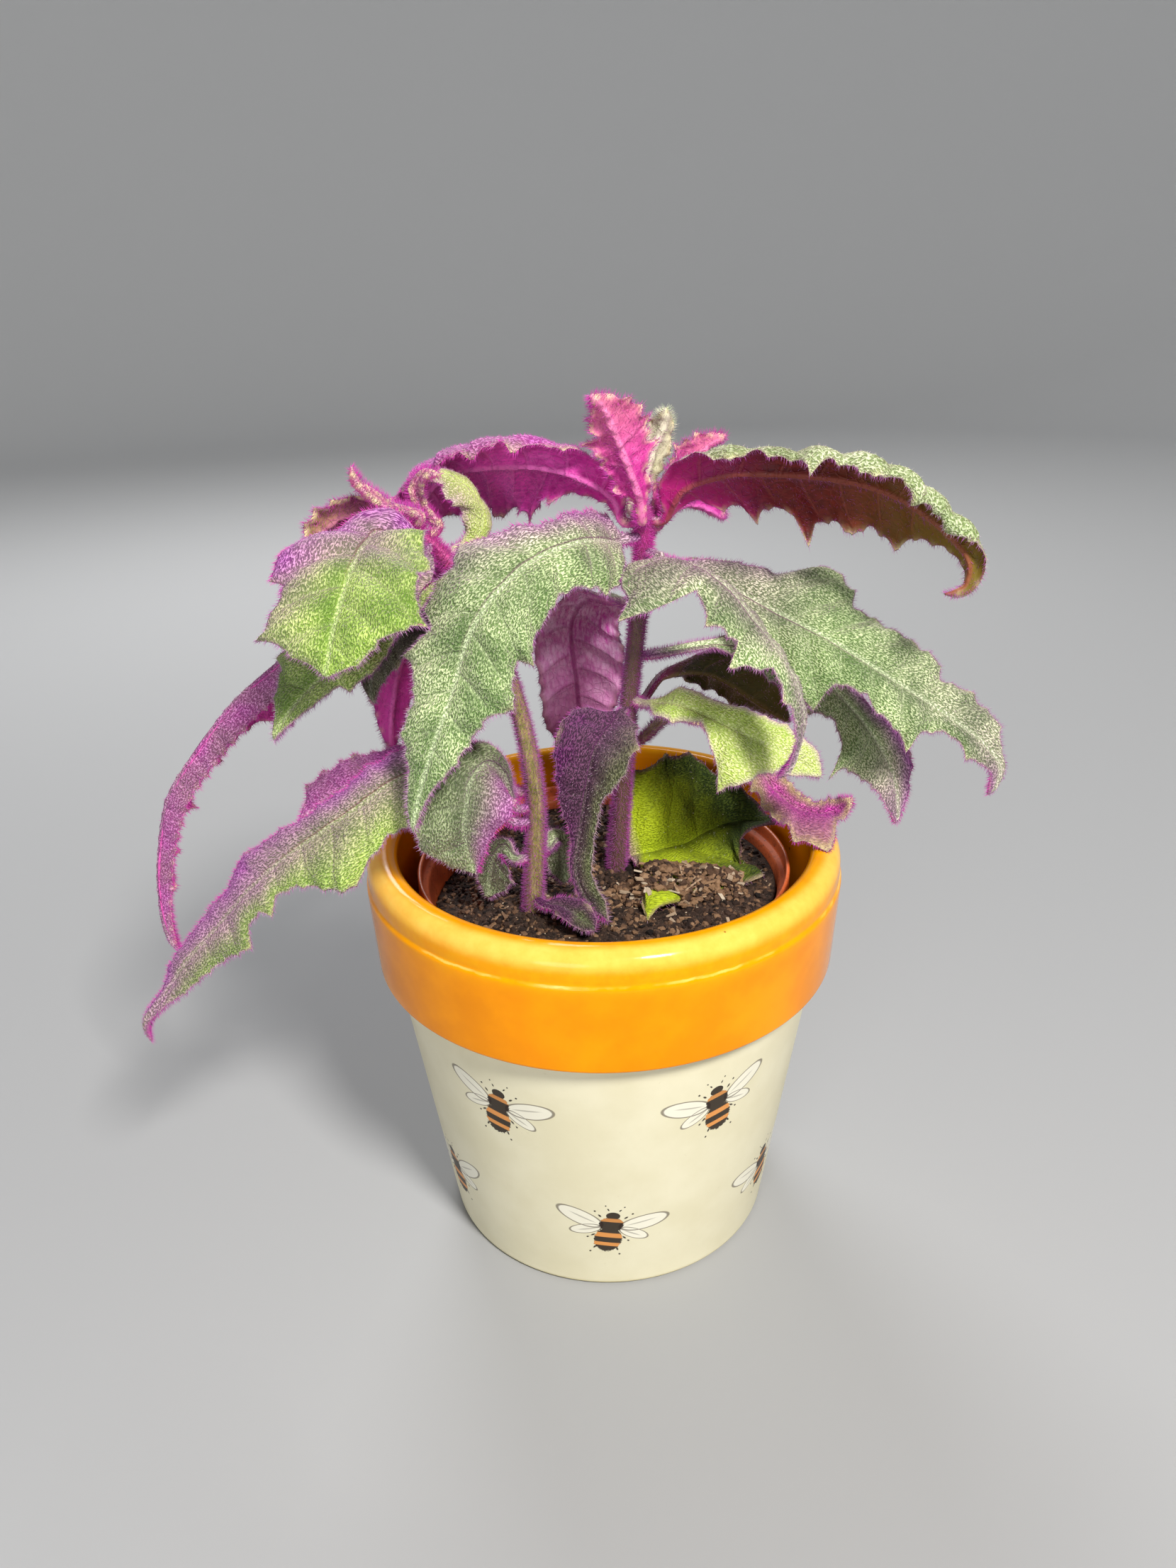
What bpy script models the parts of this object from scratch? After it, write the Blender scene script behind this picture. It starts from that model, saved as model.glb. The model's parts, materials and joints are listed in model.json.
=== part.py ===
"""Purple passion plant (Gynura) in a glazed cover pot.

Units in the tables are millimetres, turned into metres when a mesh is made. The origin is the centre of
the pot's base on the table, +Z is up, and the fullest side of the plant faces -Y.
"""
import bpy
import bmesh
import numpy as np
from math import cos, radians, sin
from mathutils import Vector

MM = 0.001
GAP = 0.3               # air kept between neighbouring pieces
MERGE = 0.00001         # metres, for points that meet on a turned piece's axis

# Cover pot: a tapered body under a thick rolled rim
POT_HEIGHT = 122.0
POT_RIM_R = 66.0
POT_BAND_LOW_Z = 87.3   # lower edge of the rim band
POT_BODY_R = 60.7       # body radius just under the band
POT_BASE_R = 48.5
POT_MOUTH_R = 57.4
POT_WALL = 4.6
POT_FLOOR = 7.0

# Thin plastic nursery pot standing inside it
NURSERY_R = 52.5
NURSERY_TOP_Z = 112.6
NURSERY_BASE_R = 38.0
NURSERY_WALL = 1.1
NURSERY_LIP = 5.0

SOIL_Z = 107.2          # mean height of the peat
SOIL_HUMP = 0.9         # how far it rises and falls
STEM_FOOT_Z = 80.0      # where the stems end, in the peat
STEM_RINGS = 26

# Leaves
PETIOLE_R = 1.25
BLADE = 0.8             # full thickness of the blade
RIB = 0.7               # how far the midrib stands out below
SEAT = 0.4              # air between a petiole and its stem
LEAN_IN = 0.06          # share of the leaf's length over which its side veins start to lean


def srgb(red, green, blue):
    """Linear colour from 0-255 screen values."""
    return tuple(((v / 255 + 0.055) / 1.055) ** 2.4 if v > 10 else v / 255 / 12.92
                 for v in (red, green, blue)) + (1.0,)


def material(name, colour, roughness, metallic=0.0):
    made = bpy.data.materials.new(name)
    made.use_nodes = True
    shader = made.node_tree.nodes["Principled BSDF"]
    shader.inputs["Base Color"].default_value = colour
    shader.inputs["Roughness"].default_value = roughness
    shader.inputs["Metallic"].default_value = metallic
    return made


def add(obj, collection, finish=None):
    collection.objects.link(obj)
    if finish:
        obj.data.materials.append(finish)
    return obj


def turned(name, profile, steps, collection, finish=None):
    """A solid of revolution from (radius, height) points, from the inside over the top and down outside."""
    mesh = bpy.data.meshes.new(name)
    mesh.from_pydata([(r * MM, 0, z * MM) for r, z in profile],
                     [(i, i + 1) for i in range(len(profile) - 1)], [])
    obj = add(bpy.data.objects.new(name, mesh), collection, finish)
    screw = obj.modifiers.new("Turn", 'SCREW')
    screw.steps = screw.render_steps = steps
    screw.use_merge_vertices = True
    screw.merge_threshold = MERGE
    screw.use_smooth_shade = True
    return obj


def arc(cx, cz, radius, start, end, count):
    """Points on an arc of a profile, by angle in degrees from +X."""
    return [(cx + radius * cos(radians(a)), cz + radius * sin(radians(a)))
            for a in np.linspace(start, end, count)]


def soil_height(x, y):
    """Height of the peat's surface, a little uneven and lower at the wall."""
    r = np.hypot(x, y)
    waves = np.sin(0.13 * x + 0.7) * np.cos(0.11 * y - 0.4) + 0.5 * np.sin(0.23 * y + 0.09 * x)
    return SOIL_Z + SOIL_HUMP * waves * np.clip((50 - r) / 12, 0, 1) - 1.2 * (r / 50) ** 4


# Stems: centre line from the foot up, radius at foot and top. The first stretch stands plumb in the peat.
STEMS = {
    "stem_left": dict(
        points=[(-19, -20.5, 80), (-19, -20.5, 95), (-19, -20.5, 110), (-17.8, -20.3, 126), (-17.3, -20, 141),
                (-19, -19, 157), (-22, -18, 171), (-26, -17, 184), (-32, -15, 196), (-40, -13, 206),
                (-46, -11, 210)], foot=2.9, top=1.7),
    "stem_right": dict(
        points=[(4, 2, 80), (4, 2, 95), (4, 2, 110), (5.5, 2, 130), (7.5, 2, 157), (10, 1.5, 180),
                (11.5, 0.5, 197), (11.5, -1, 212)], foot=2.9, top=2.0),
}


# Leaf surface: a curved midrib, a facing direction along it, and a cross-section that folds and rolls

def smooth_curve(points, count=161):
    """A curve through hand-placed points, given as points at even lengths along it."""
    p = np.array(points, float)
    step = np.maximum(np.linalg.norm(np.diff(p, axis=0), axis=1), 1e-6) ** 0.5
    slope = np.zeros_like(p)
    run = np.diff(p, axis=0) / step[:, None]
    slope[1:-1] = ((run[:-1] * step[1:, None] + run[1:] * step[:-1, None])
                   / (step[:-1] + step[1:])[:, None])
    slope[0] = 1.5 * run[0] - 0.5 * slope[1]
    slope[-1] = 1.5 * run[-1] - 0.5 * slope[-2]
    fine = []
    for i, h in enumerate(step):
        for s in np.linspace(0, 1, 24, endpoint=False):
            fine.append((2 * s**3 - 3 * s**2 + 1) * p[i] + (s**3 - 2 * s**2 + s) * h * slope[i]
                        + (3 * s**2 - 2 * s**3) * p[i + 1] + (s**3 - s**2) * h * slope[i + 1])
    fine = np.array(fine + [p[-1]])
    along = np.concatenate([[0], np.cumsum(np.linalg.norm(np.diff(fine, axis=0), axis=1))])
    even = np.linspace(0, along[-1], count)
    return np.stack([np.interp(even, along, fine[:, c]) for c in range(3)], axis=1)


def eased(keys, t):
    """Value at t from (t, value) keys, easing in and out of each; a bare number is constant."""
    t = np.asarray(t, float)
    if np.isscalar(keys):
        return np.full(t.shape, float(keys))
    at = np.array([key[0] for key in keys], float)
    value = np.array([key[1] for key in keys], float)
    i = np.clip(np.searchsorted(at, t, side="right") - 1, 0, len(at) - 2)
    f = np.clip((t - at[i]) / (at[i + 1] - at[i]), 0, 1)
    f = f * f * (3 - 2 * f)
    if value.ndim > 1:
        f = f[..., None]
    return value[i] + (value[i + 1] - value[i]) * f


def unit(v):
    return v / np.maximum(np.linalg.norm(v, axis=-1, keepdims=True), 1e-12)


def lengthwise(rows, t):
    """Rows of a table kept at even t, read at any t."""
    even = np.linspace(0, 1, len(rows))
    return np.stack([np.interp(t, even, rows[:, c]) for c in range(3)], axis=-1)


def stem_at(stem, z):
    """Centre, radius and direction of a stem at height z."""
    line = smooth_curve(STEMS[stem]["points"])
    f = np.interp(z, line[:, 2], np.linspace(0, 1, len(line)))
    radius = STEMS[stem]["foot"] + (STEMS[stem]["top"] - STEMS[stem]["foot"]) * f
    heading = unit(lengthwise(np.gradient(line, axis=0), f))
    return lengthwise(line, f), radius, heading


def blade_surface(spec, t, d):
    """Point of the middle surface at t along the midrib and d across it (right of it is positive)."""
    t, d = np.broadcast_arrays(np.asarray(t, float), np.asarray(d, float))
    line, tangent, normal = spec["line"], spec["tangent"], spec["normal"]
    along = unit(lengthwise(tangent, t))
    up = lengthwise(normal, t)
    up = unit(up - (up * along).sum(-1, keepdims=True) * along)
    side = np.cross(along, up)
    right = d > 0
    fold = np.where(right, eased(spec["fold"][1], t), eased(spec["fold"][0], t))
    roll = np.where(right, eased(spec["roll"][1], t), eased(spec["roll"][0], t))
    reach = np.abs(d)
    across, rise, parts = 0, 0, 12
    for k in range(parts):
        angle = np.radians(fold + roll * ((k + 0.5) / parts * reach / spec["scale"]) ** 2)
        across = across + np.cos(angle) * reach / parts
        rise = rise + np.sin(angle) * reach / parts
    lean = np.radians(eased(spec["sweep"], t)) * np.clip(t / LEAN_IN, 0, 1)
    out = np.cos(lean)[..., None] * np.where(right, 1, -1)[..., None] * side + np.sin(lean)[..., None] * along
    return lengthwise(line, t) + across[..., None] * out + rise[..., None] * up


def blade_normal(spec, t, d):
    """Direction square to the middle surface, out of the leaf's top side."""
    dt, dd = 0.004, 0.15
    t0, t1 = np.clip(t - dt, 0, 1), np.clip(t + dt, 0, 1)
    along = blade_surface(spec, t1, d) - blade_surface(spec, t0, d)
    across = blade_surface(spec, t, d + dd) - blade_surface(spec, t, d - dd)
    return unit(np.cross(across, along))


def leaf_ring(spec, t, left, right, columns):
    """One closed ring round the leaf at t: over the top from left to right, and back underneath."""
    share = np.linspace(-1, 1, columns)
    share = np.sign(share) * np.abs(share) ** 1.25
    d = share * np.where(share < 0, left, right)
    t = np.full(columns, t)
    middle, normal = blade_surface(spec, t, d), blade_normal(spec, t, d)
    widest = max(left, right)
    flat = np.clip((widest - PETIOLE_R) / 3.0, 0, 1)
    round_half = min(PETIOLE_R, widest) * np.sqrt(1 - share ** 2)
    thin_half = BLADE / 2 * (1 - share ** 6)
    top = (1 - flat) * round_half + flat * thin_half
    rib = RIB * np.exp(-(d / 1.4) ** 2) * (1 - 0.7 * t)
    low = (1 - flat) * round_half + flat * (thin_half + rib * (1 - share ** 6))
    upper = middle + normal * top[:, None]
    lower = middle - normal * low[:, None]
    return np.concatenate([upper, lower[-2:0:-1]])


def stations(left, right):
    """Every t where either margin has a point, with those closer than a hair's breadth joined."""
    marks = sorted({round(t, 3) for t, _ in left} | {round(t, 3) for t, _ in right})
    kept = [marks[0]]
    for t in marks[1:]:
        if t - kept[-1] >= 0.012:
            kept.append(t)
    kept[-1] = marks[-1]
    return kept


def margin(points, t):
    return float(np.interp(t, [p[0] for p in points], [p[1] for p in points]))


def loft(name, rings, columns, collection, finish):
    """Closed skin over rings of equal count. Top and underside are split into triangles alike."""
    bm = bmesh.new()
    count = len(rings[0])
    rows = [[bm.verts.new(Vector(point) * MM) for point in ring] for ring in rings]
    for near, far in zip(rows, rows[1:]):
        for k in range(count):
            n = (k + 1) % count
            column = k if k < columns - 1 else count - 1 - k
            if column < (columns - 1) / 2:
                quads = ((near[k], near[n], far[k]), (near[n], far[n], far[k])) if k < columns - 1 else \
                        ((near[k], near[n], far[n]), (near[k], far[n], far[k]))
            else:
                quads = ((near[k], near[n], far[n]), (near[k], far[n], far[k])) if k < columns - 1 else \
                        ((near[k], near[n], far[k]), (near[n], far[n], far[k]))
            for corners in quads:
                bm.faces.new(corners)
    for row in (rows[0], rows[-1]):
        cap = bm.faces.new(row)
        bmesh.ops.triangulate(bm, faces=[cap])
    bmesh.ops.recalc_face_normals(bm, faces=bm.faces)
    mesh = bpy.data.meshes.new(name)
    bm.to_mesh(mesh)
    bm.free()
    mesh.shade_smooth()
    mesh.set_sharp_from_angle(angle=radians(50))
    return add(bpy.data.objects.new(name, mesh), collection, finish)


for old in list(bpy.data.objects):
    bpy.data.objects.remove(old)
plant = bpy.data.collections.new("passion_plant")
cutters = bpy.data.collections.new("cutters")
bpy.context.scene.collection.children.link(plant)
bpy.context.scene.collection.children.link(cutters)

GLAZE = material("amber_glaze", srgb(240, 160, 15), 0.18)
PLASTIC = material("terracotta_plastic", srgb(168, 88, 50), 0.45)
PEAT = material("peat", srgb(48, 36, 31), 0.95)
STEM = material("stem", srgb(132, 122, 70), 0.6)
GREY_GREEN = material("leaf_grey_green", srgb(142, 160, 118), 0.7)
BRIGHT_GREEN = material("leaf_bright_green", srgb(150, 185, 80), 0.7)
YELLOW_GREEN = material("leaf_yellow_green", srgb(135, 148, 48), 0.7)
DARK_GREEN = material("leaf_dark_green", srgb(72, 78, 52), 0.7)
PURPLE = material("leaf_purple", srgb(122, 44, 110), 0.6)
PINK = material("leaf_pink", srgb(200, 90, 150), 0.65)
PURPLE_GREY = material("leaf_purple_grey", srgb(128, 106, 122), 0.7)

POT_STEPS = 40


def cover_pot():
    """Glazed pot: floor, wall, rolled rim, crease, band, step under the band, tapered body, flat base."""
    body_slope = (POT_BODY_R - POT_BASE_R) / POT_BAND_LOW_Z
    inner_foot = POT_BASE_R - POT_WALL + body_slope * POT_FLOOR
    profile = [(0, POT_FLOOR), (inner_foot - 5, POT_FLOOR), (inner_foot, POT_FLOOR + 4),
               (POT_BODY_R - POT_WALL, POT_BAND_LOW_Z), (POT_MOUTH_R, 117.0)]
    profile += arc(POT_MOUTH_R + 3.2, POT_HEIGHT - 3.2, 3.2, 165, 95, 3)
    profile += arc(POT_RIM_R - 5.0, POT_HEIGHT - 5.0, 5.0, 80, 5, 4)
    profile += [(POT_RIM_R, 113.6), (POT_RIM_R + 0.5, 112.8), (POT_RIM_R - 0.9, POT_BAND_LOW_Z + 1.2),
                (POT_RIM_R - 1.6, POT_BAND_LOW_Z), (POT_BODY_R + 0.3, POT_BAND_LOW_Z),
                (POT_BODY_R, POT_BAND_LOW_Z - 1.0), (POT_BASE_R + 0.3, 1.6), (POT_BASE_R - 1.3, 0), (0, 0)]
    return turned("cover_pot", profile, POT_STEPS, plant, GLAZE)


def nursery_pot():
    """Thin plastic pot with a deeper lip, standing on the cover pot's floor."""
    foot = POT_FLOOR + GAP
    shoulder = NURSERY_TOP_Z - NURSERY_LIP
    neck = NURSERY_R - 1.9
    profile = [(0, foot + NURSERY_WALL), (NURSERY_BASE_R - NURSERY_WALL, foot + NURSERY_WALL),
               (neck - NURSERY_WALL, shoulder), (NURSERY_R - NURSERY_WALL, shoulder + 1.4),
               (NURSERY_R - NURSERY_WALL, NURSERY_TOP_Z), (NURSERY_R, NURSERY_TOP_Z), (NURSERY_R, shoulder),
               (neck, shoulder - 0.4), (NURSERY_BASE_R, foot), (0, foot)]
    return turned("nursery_pot", profile, POT_STEPS, plant, PLASTIC)


def potting_soil():
    """The peat that fills the nursery pot, with a plain hole for each stem."""
    bottom = POT_FLOOR + GAP + NURSERY_WALL + GAP
    foot_r = NURSERY_BASE_R - NURSERY_WALL - GAP
    wall_r = NURSERY_R - 1.9 - NURSERY_WALL - GAP - 0.3
    rings = [wall_r * share for share in (0, 0.22, 0.42, 0.6, 0.76, 0.9, 1)]
    profile = [(r, SOIL_Z) for r in rings] + [(foot_r, bottom), (0, bottom)]
    blank = turned("soil_blank", profile, POT_STEPS, plant)
    bpy.context.view_layer.update()
    mesh = bpy.data.meshes.new_from_object(blank.evaluated_get(bpy.context.evaluated_depsgraph_get()))
    bpy.data.objects.remove(blank)
    mesh.name = "potting_soil"
    for vertex in mesh.vertices:
        if vertex.co.z > (SOIL_Z - 1) * MM:
            vertex.co.z = soil_height(vertex.co.x / MM, vertex.co.y / MM) * MM
    soil = add(bpy.data.objects.new("potting_soil", mesh), plant, PEAT)
    for stem, spec in STEMS.items():
        x, y, _ = spec["points"][0]
        depth = 60.0
        bpy.ops.mesh.primitive_cylinder_add(vertices=16, radius=(spec["foot"] + 0.5) * MM, depth=depth * MM,
                                            location=(x * MM, y * MM, (STEM_FOOT_Z - 0.4 + depth / 2) * MM))
        hole = bpy.context.object
        hole.name = stem + "_hole"
        for holder in list(hole.users_collection):
            holder.objects.unlink(hole)
        add(hole, cutters)
        hole.hide_render = True
        hole.display_type = 'WIRE'
        cut = soil.modifiers.new(stem, 'BOOLEAN')
        cut.operation = 'DIFFERENCE'
        cut.solver = 'EXACT'
        cut.object = hole
    return soil


def stem(name):
    spec = STEMS[name]
    line = smooth_curve(spec["points"], STEM_RINGS)
    curve = bpy.data.curves.new(name, 'CURVE')
    curve.dimensions = '3D'
    curve.bevel_depth = MM
    curve.bevel_resolution = 2
    curve.use_fill_caps = True
    spline = curve.splines.new('POLY')
    spline.points.add(len(line) - 1)
    for i, point in enumerate(line):
        spline.points[i].co = (*(point * MM), 1)
        spline.points[i].radius = spec["foot"] + (spec["top"] - spec["foot"]) * i / (len(line) - 1)
    return add(bpy.data.objects.new(name, curve), plant, STEM)


def leaf(name, stem_name, z, azimuth, via, face, left, right, fold=(0, 0), roll=(0, 0), sweep=15,
         scale=15.0, columns=7, pitch=0, finish=GREY_GREEN):
    """One leaf, petiole and blade, growing squarely out of a stem at height z."""
    centre, radius, heading = stem_at(stem_name, z)
    aim = np.array([cos(radians(azimuth)) * cos(radians(pitch)),
                    sin(radians(azimuth)) * cos(radians(pitch)), sin(radians(pitch))])
    out = unit(aim - aim.dot(heading) * heading)
    root = centre + out * (radius + SEAT)
    line = smooth_curve([root, root + out * 2.5] + list(via))
    tangent = unit(np.gradient(line, axis=0))
    tangent[0] = out
    facing = unit(eased(face, np.linspace(0, 1, len(line))))
    normal = unit(facing - (facing * tangent).sum(1, keepdims=True) * tangent)
    spec = dict(line=line, tangent=tangent, normal=normal, fold=fold, roll=roll, sweep=sweep, scale=scale)
    left = [(0, PETIOLE_R)] + list(left) + [(1, 0.5)]
    right = [(0, PETIOLE_R)] + list(right) + [(1, 0.5)]
    rings = [leaf_ring(spec, t, margin(left, t), margin(right, t), columns) for t in stations(left, right)]
    rings[0] = rings[0] - ((rings[0] - root) @ out)[:, None] * out
    return loft(name, rings, columns, plant, finish)


cover_pot()
nursery_pot()
potting_soil()
for each in STEMS:
    stem(each)

# The big leaf hanging in front, left of the middle
leaf("leaf_centre_left", "stem_right", 204.5, 215,
     via=[(-4, -20, 207.5), (-13, -28, 206.5), (-19, -33, 203.5), (-25, -37, 198), (-30, -40, 190),
          (-34, -43, 179), (-39, -46, 166), (-43, -47, 154), (-45, -46, 145)],
     face=[(0, (-.1, -.8, .7)), (.25, (-.1, -1, .6)), (.6, (-.3, -1, .35)), (1, (-.2, -1, .15))],
     left=[(.06, 1.5), (.10, 7), (.15, 12), (.18, 13.5), (.27, 10), (.32, 10.5), (.37, 13.5), (.41, 14.5),
           (.47, 18), (.50, 14), (.54, 14), (.62, 16.5), (.68, 10), (.80, 6.5), (.88, 3)],
     right=[(.04, 1.5), (.07, 9), (.10, 10.5), (.18, 8.5), (.28, 7), (.35, 11.5), (.38, 16), (.43, 12.5),
            (.46, 14.5), (.51, 13.5), (.54, 10), (.59, 16), (.62, 11.5), (.68, 9.5), (.77, 9), (.85, 4.5),
            (.93, 3)],
     fold=(((0, -25), (.3, -10), (1, -5)), ((0, 5), (.3, 0), (1, -5))), roll=(-15, -10),
     sweep=((0, -35), (.2, 0), (.4, 22), (1, 25)))

# The narrow toothed leaf right of the middle, folded along its midrib
leaf("leaf_centre_right", "stem_right", 200.5, -45,
     via=[(22, -14, 201), (30, -22, 197), (37, -28, 190), (43, -33, 183), (47, -36, 175), (48.5, -37, 166),
          (47, -36, 158), (43, -34, 152)],
     face=[(0, (.1, -.4, 1)), (.3, (.2, -.8, .8)), (.7, (.4, -1, .3)), (1, (.6, -1, .1))],
     left=[(.08, 1.5), (.2, 7), (.35, 9), (.55, 10), (.75, 7), (.9, 3.5)],
     right=[(.06, 2), (.11, 12.5), (.18, 18), (.22, 25), (.25, 19.5), (.27, 14), (.29, 6), (.33, 8.5),
            (.36, 11), (.42, 9), (.46, 8), (.48, 14), (.54, 10), (.59, 5), (.63, 4.5), (.68, 6.2), (.73, 4),
            (.85, 2.5)],
     fold=(((0, -30), (.3, -65), (1, -60)), ((0, 0), (.5, 5), (1, 0))), roll=(-20, -10),
     sweep=((0, -50), (.2, -5), (.4, 20), (1, 25)))

# The broad leaf reaching right
leaf("leaf_right_broad", "stem_right", 197.5, 15,
     via=[(29, 6, 192), (43, 3, 185), (57, -1, 178), (72, -6, 170), (89, -10, 159), (100, -13, 151),
          (104, -14, 145), (102, -14, 137)],
     face=[(0, (.2, -.6, .8)), (.5, (.3, -.8, .8)), (.85, (.4, -.8, .6)), (1, (.7, -.7, .1))],
     left=[(.08, 1.5), (.16, 6), (.25, 10.5), (.29, 20.5), (.34, 22), (.39, 19.5), (.42, 13), (.47, 15),
           (.52, 13), (.58, 14), (.64, 12.5), (.68, 9), (.74, 10.5), (.82, 8.5), (.9, 3), (.95, 2.5)],
     right=[(.1, 1.5), (.25, 8), (.4, 18), (.44, 20), (.49, 9.5), (.56, 8), (.58, 10.5), (.65, 12),
            (.68, 15), (.71, 8), (.76, 4.5), (.80, 4.5), (.83, 7), (.89, 4.5), (.95, 2.5)],
     fold=(((0, 15), (.5, 5), (1, 0)), ((0, -10), (.5, -15), (1, -20))), roll=(-10, -15),
     sweep=((0, 0), (.3, 22), (1, 25)))

# Behind and below it, drooping past the pot's edge
leaf("leaf_right_lower", "stem_right", 172, 25,
     via=[(34, 8, 173), (50, 11, 168), (66, 11, 157), (78, 8, 142), (83, 4, 130), (82, 0, 122)],
     face=[(0, (.1, -.6, .8)), (.5, (.4, -1, .5)), (1, (.5, -1, .1))],
     left=[(.2, 1.5), (.35, 7), (.5, 9), (.60, 5), (.68, 5.5), (.75, 8), (.81, 8.5), (.9, 4.5)],
     right=[(.2, 1.5), (.35, 8), (.5, 11), (.61, 7), (.66, 10), (.68, 19), (.72, 13), (.79, 10), (.87, 6.5),
            (.94, 4.5)],
     fold=(0, -5), roll=(-15, -10), sweep=((0, 0), (.3, 20), (1, 25)), finish=PURPLE_GREY)

# The bright lobed leaf in the middle
leaf("leaf_middle_bright", "stem_right", 160, -40,
     via=[(19, -10, 163), (28, -15, 161), (38, -18, 156.5), (48, -18, 151), (57, -16, 144)],
     face=[(0, (0, -.5, 1)), (.5, (.1, -1, .7)), (1, (.3, -1, .4))],
     left=[(.12, 1.5), (.23, 5), (.43, 4.5), (.56, 6.5), (.71, 7), (.86, 6), (.95, 3)],
     right=[(.12, 1.5), (.2, 5), (.28, 5.5), (.34, 4), (.40, 2.5), (.46, 6.5), (.51, 11), (.54, 17.5),
            (.59, 14), (.67, 8.5), (.76, 5.5), (.86, 4)],
     fold=(5, -5), roll=(-15, -25), sweep=((0, -30), (.3, 10), (1, 25)), finish=BRIGHT_GREEN)

# A dark leaf behind it, its underside to the front
leaf("leaf_behind_dark", "stem_right", 158, 45,
     via=[(18, 13, 163), (30, 22, 160), (44, 27, 151), (56, 28, 142)],
     face=[(0, (0, .7, .7)), (1, (.3, .8, .4))],
     left=[(.2, 1.5), (.3, 7), (.45, 12), (.5, 9.5), (.7, 11), (.85, 6)],
     right=[(.2, 1.5), (.33, 9), (.5, 14), (.6, 11), (.72, 12), (.88, 5)],
     fold=(10, 10), roll=(10, 20), sweep=20, finish=DARK_GREEN)

# Folded leaf hanging in front to the peat
leaf("leaf_front_hanging", "stem_right", 157, 245,
     via=[(-1, -13, 152), (-4, -18, 141), (-6, -20, 130), (-7, -23, 121), (-4, -28, 115), (1, -33, 111.5)],
     face=[(0, (-.2, -.8, .6)), (.4, (-.3, -1, .2)), (.8, (-.2, -.9, .5)), (1, (0, -.3, 1))],
     left=[(.05, 1.5), (.12, 8), (.2, 13), (.31, 11), (.43, 6), (.60, 5.5), (.76, 5.5), (.91, 4)],
     right=[(.05, 1.5), (.14, 11), (.22, 12), (.32, 10), (.47, 7), (.56, 4), (.64, 2.2), (.85, 2)],
     fold=(25, 0), roll=(0, 10), sweep=((0, -10), (.3, 20), (1, 25)), finish=PURPLE_GREY)

# The long leaf reaching down to the left, past the pot
leaf("leaf_left_long", "stem_left", 135, 200,
     via=[(-35, -28, 150), (-44, -32, 154.5), (-52, -34, 152), (-60, -35, 146.5), (-69, -36, 141),
          (-79, -37, 134.5), (-90, -38, 125), (-99, -38, 115), (-108, -38, 105), (-117, -38, 93),
          (-122, -38, 86), (-122, -38, 80)],
     face=[(0, (0, -.8, .8)), (.4, (-.2, -.9, .7)), (.8, (-.4, -.9, .5)), (1, (-.8, -.8, .1))],
     left=[(.05, 1.5), (.10, 9), (.16, 15), (.28, 12), (.33, 10.5), (.36, 12.5), (.40, 17.5), (.43, 16),
           (.48, 11), (.51, 8.5), (.56, 6.5), (.585, 10), (.605, 6.5), (.64, 7), (.66, 11.5), (.69, 9.5),
           (.72, 8), (.78, 6.5), (.84, 5), (.9, 2.2)],
     right=[(.05, 1.5), (.12, 8), (.28, 8), (.46, 7), (.56, 9.5), (.605, 9), (.64, 6), (.69, 8),
            (.74, 5.5), (.78, 5.5), (.84, 4.5), (.88, 2), (.94, 2)],
     fold=(((0, -10), (1, -15)), ((0, -10), (1, -15))), roll=(-10, -10), sweep=((0, 0), (.3, 20), (1, 25)))

# A small rolled leaf just above it
leaf("leaf_left_lobe", "stem_left", 143, 165,
     via=[(-30, -14, 149), (-40, -14, 151), (-51, -14, 149), (-62, -13, 145), (-72, -12, 140),
          (-81, -13, 132)],
     face=[(0, (0, -.7, .8)), (1, (-.4, -.9, .5))],
     left=[(.1, 1.5), (.25, 5), (.5, 7), (.7, 7), (.88, 4)],
     right=[(.1, 1.5), (.25, 6), (.53, 6), (.68, 8), (.80, 7.5), (.88, 6.5)],
     fold=(-10, -10), roll=(-30, -60), sweep=20, finish=PURPLE)

# The long thin arching leaf at the far left, folded edge-on with small hooked teeth
leaf("leaf_left_outer", "stem_left", 192, 185,
     via=[(-46, -12, 194), (-56, -9, 192), (-64, -6, 189), (-73, -4, 183), (-85, -3, 174), (-97, -2, 164),
          (-110, -2, 150), (-119, -2, 137), (-125, -2, 122), (-128, -2, 108), (-128, -2, 94),
          (-125, -2, 85)],
     face=[(0, (-.2, -.1, 1)), (.4, (-.6, -.2, .7)), (.7, (-.9, -.2, .3)), (1, (-1, -.2, -.1))],
     left=[(.08, 1.5), (.18, 5), (.3, 8), (.42, 7.5), (.57, 7), (.65, 6), (.75, 5.5), (.87, 4.5),
           (.95, 2.5)],
     right=[(.08, 1.5), (.18, 6), (.3, 8), (.37, 13), (.42, 15), (.46, 20), (.49, 12), (.52, 9), (.57, 6.5),
            (.59, 9.5), (.605, 6), (.68, 6), (.70, 9.5), (.715, 5.5), (.78, 5), (.80, 7), (.815, 4.5),
            (.87, 6), (.89, 3.5), (.95, 2.5)],
     fold=(-72, -66), sweep=((0, 0), (.3, 15), (1, 25)), scale=10, finish=PURPLE)

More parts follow.
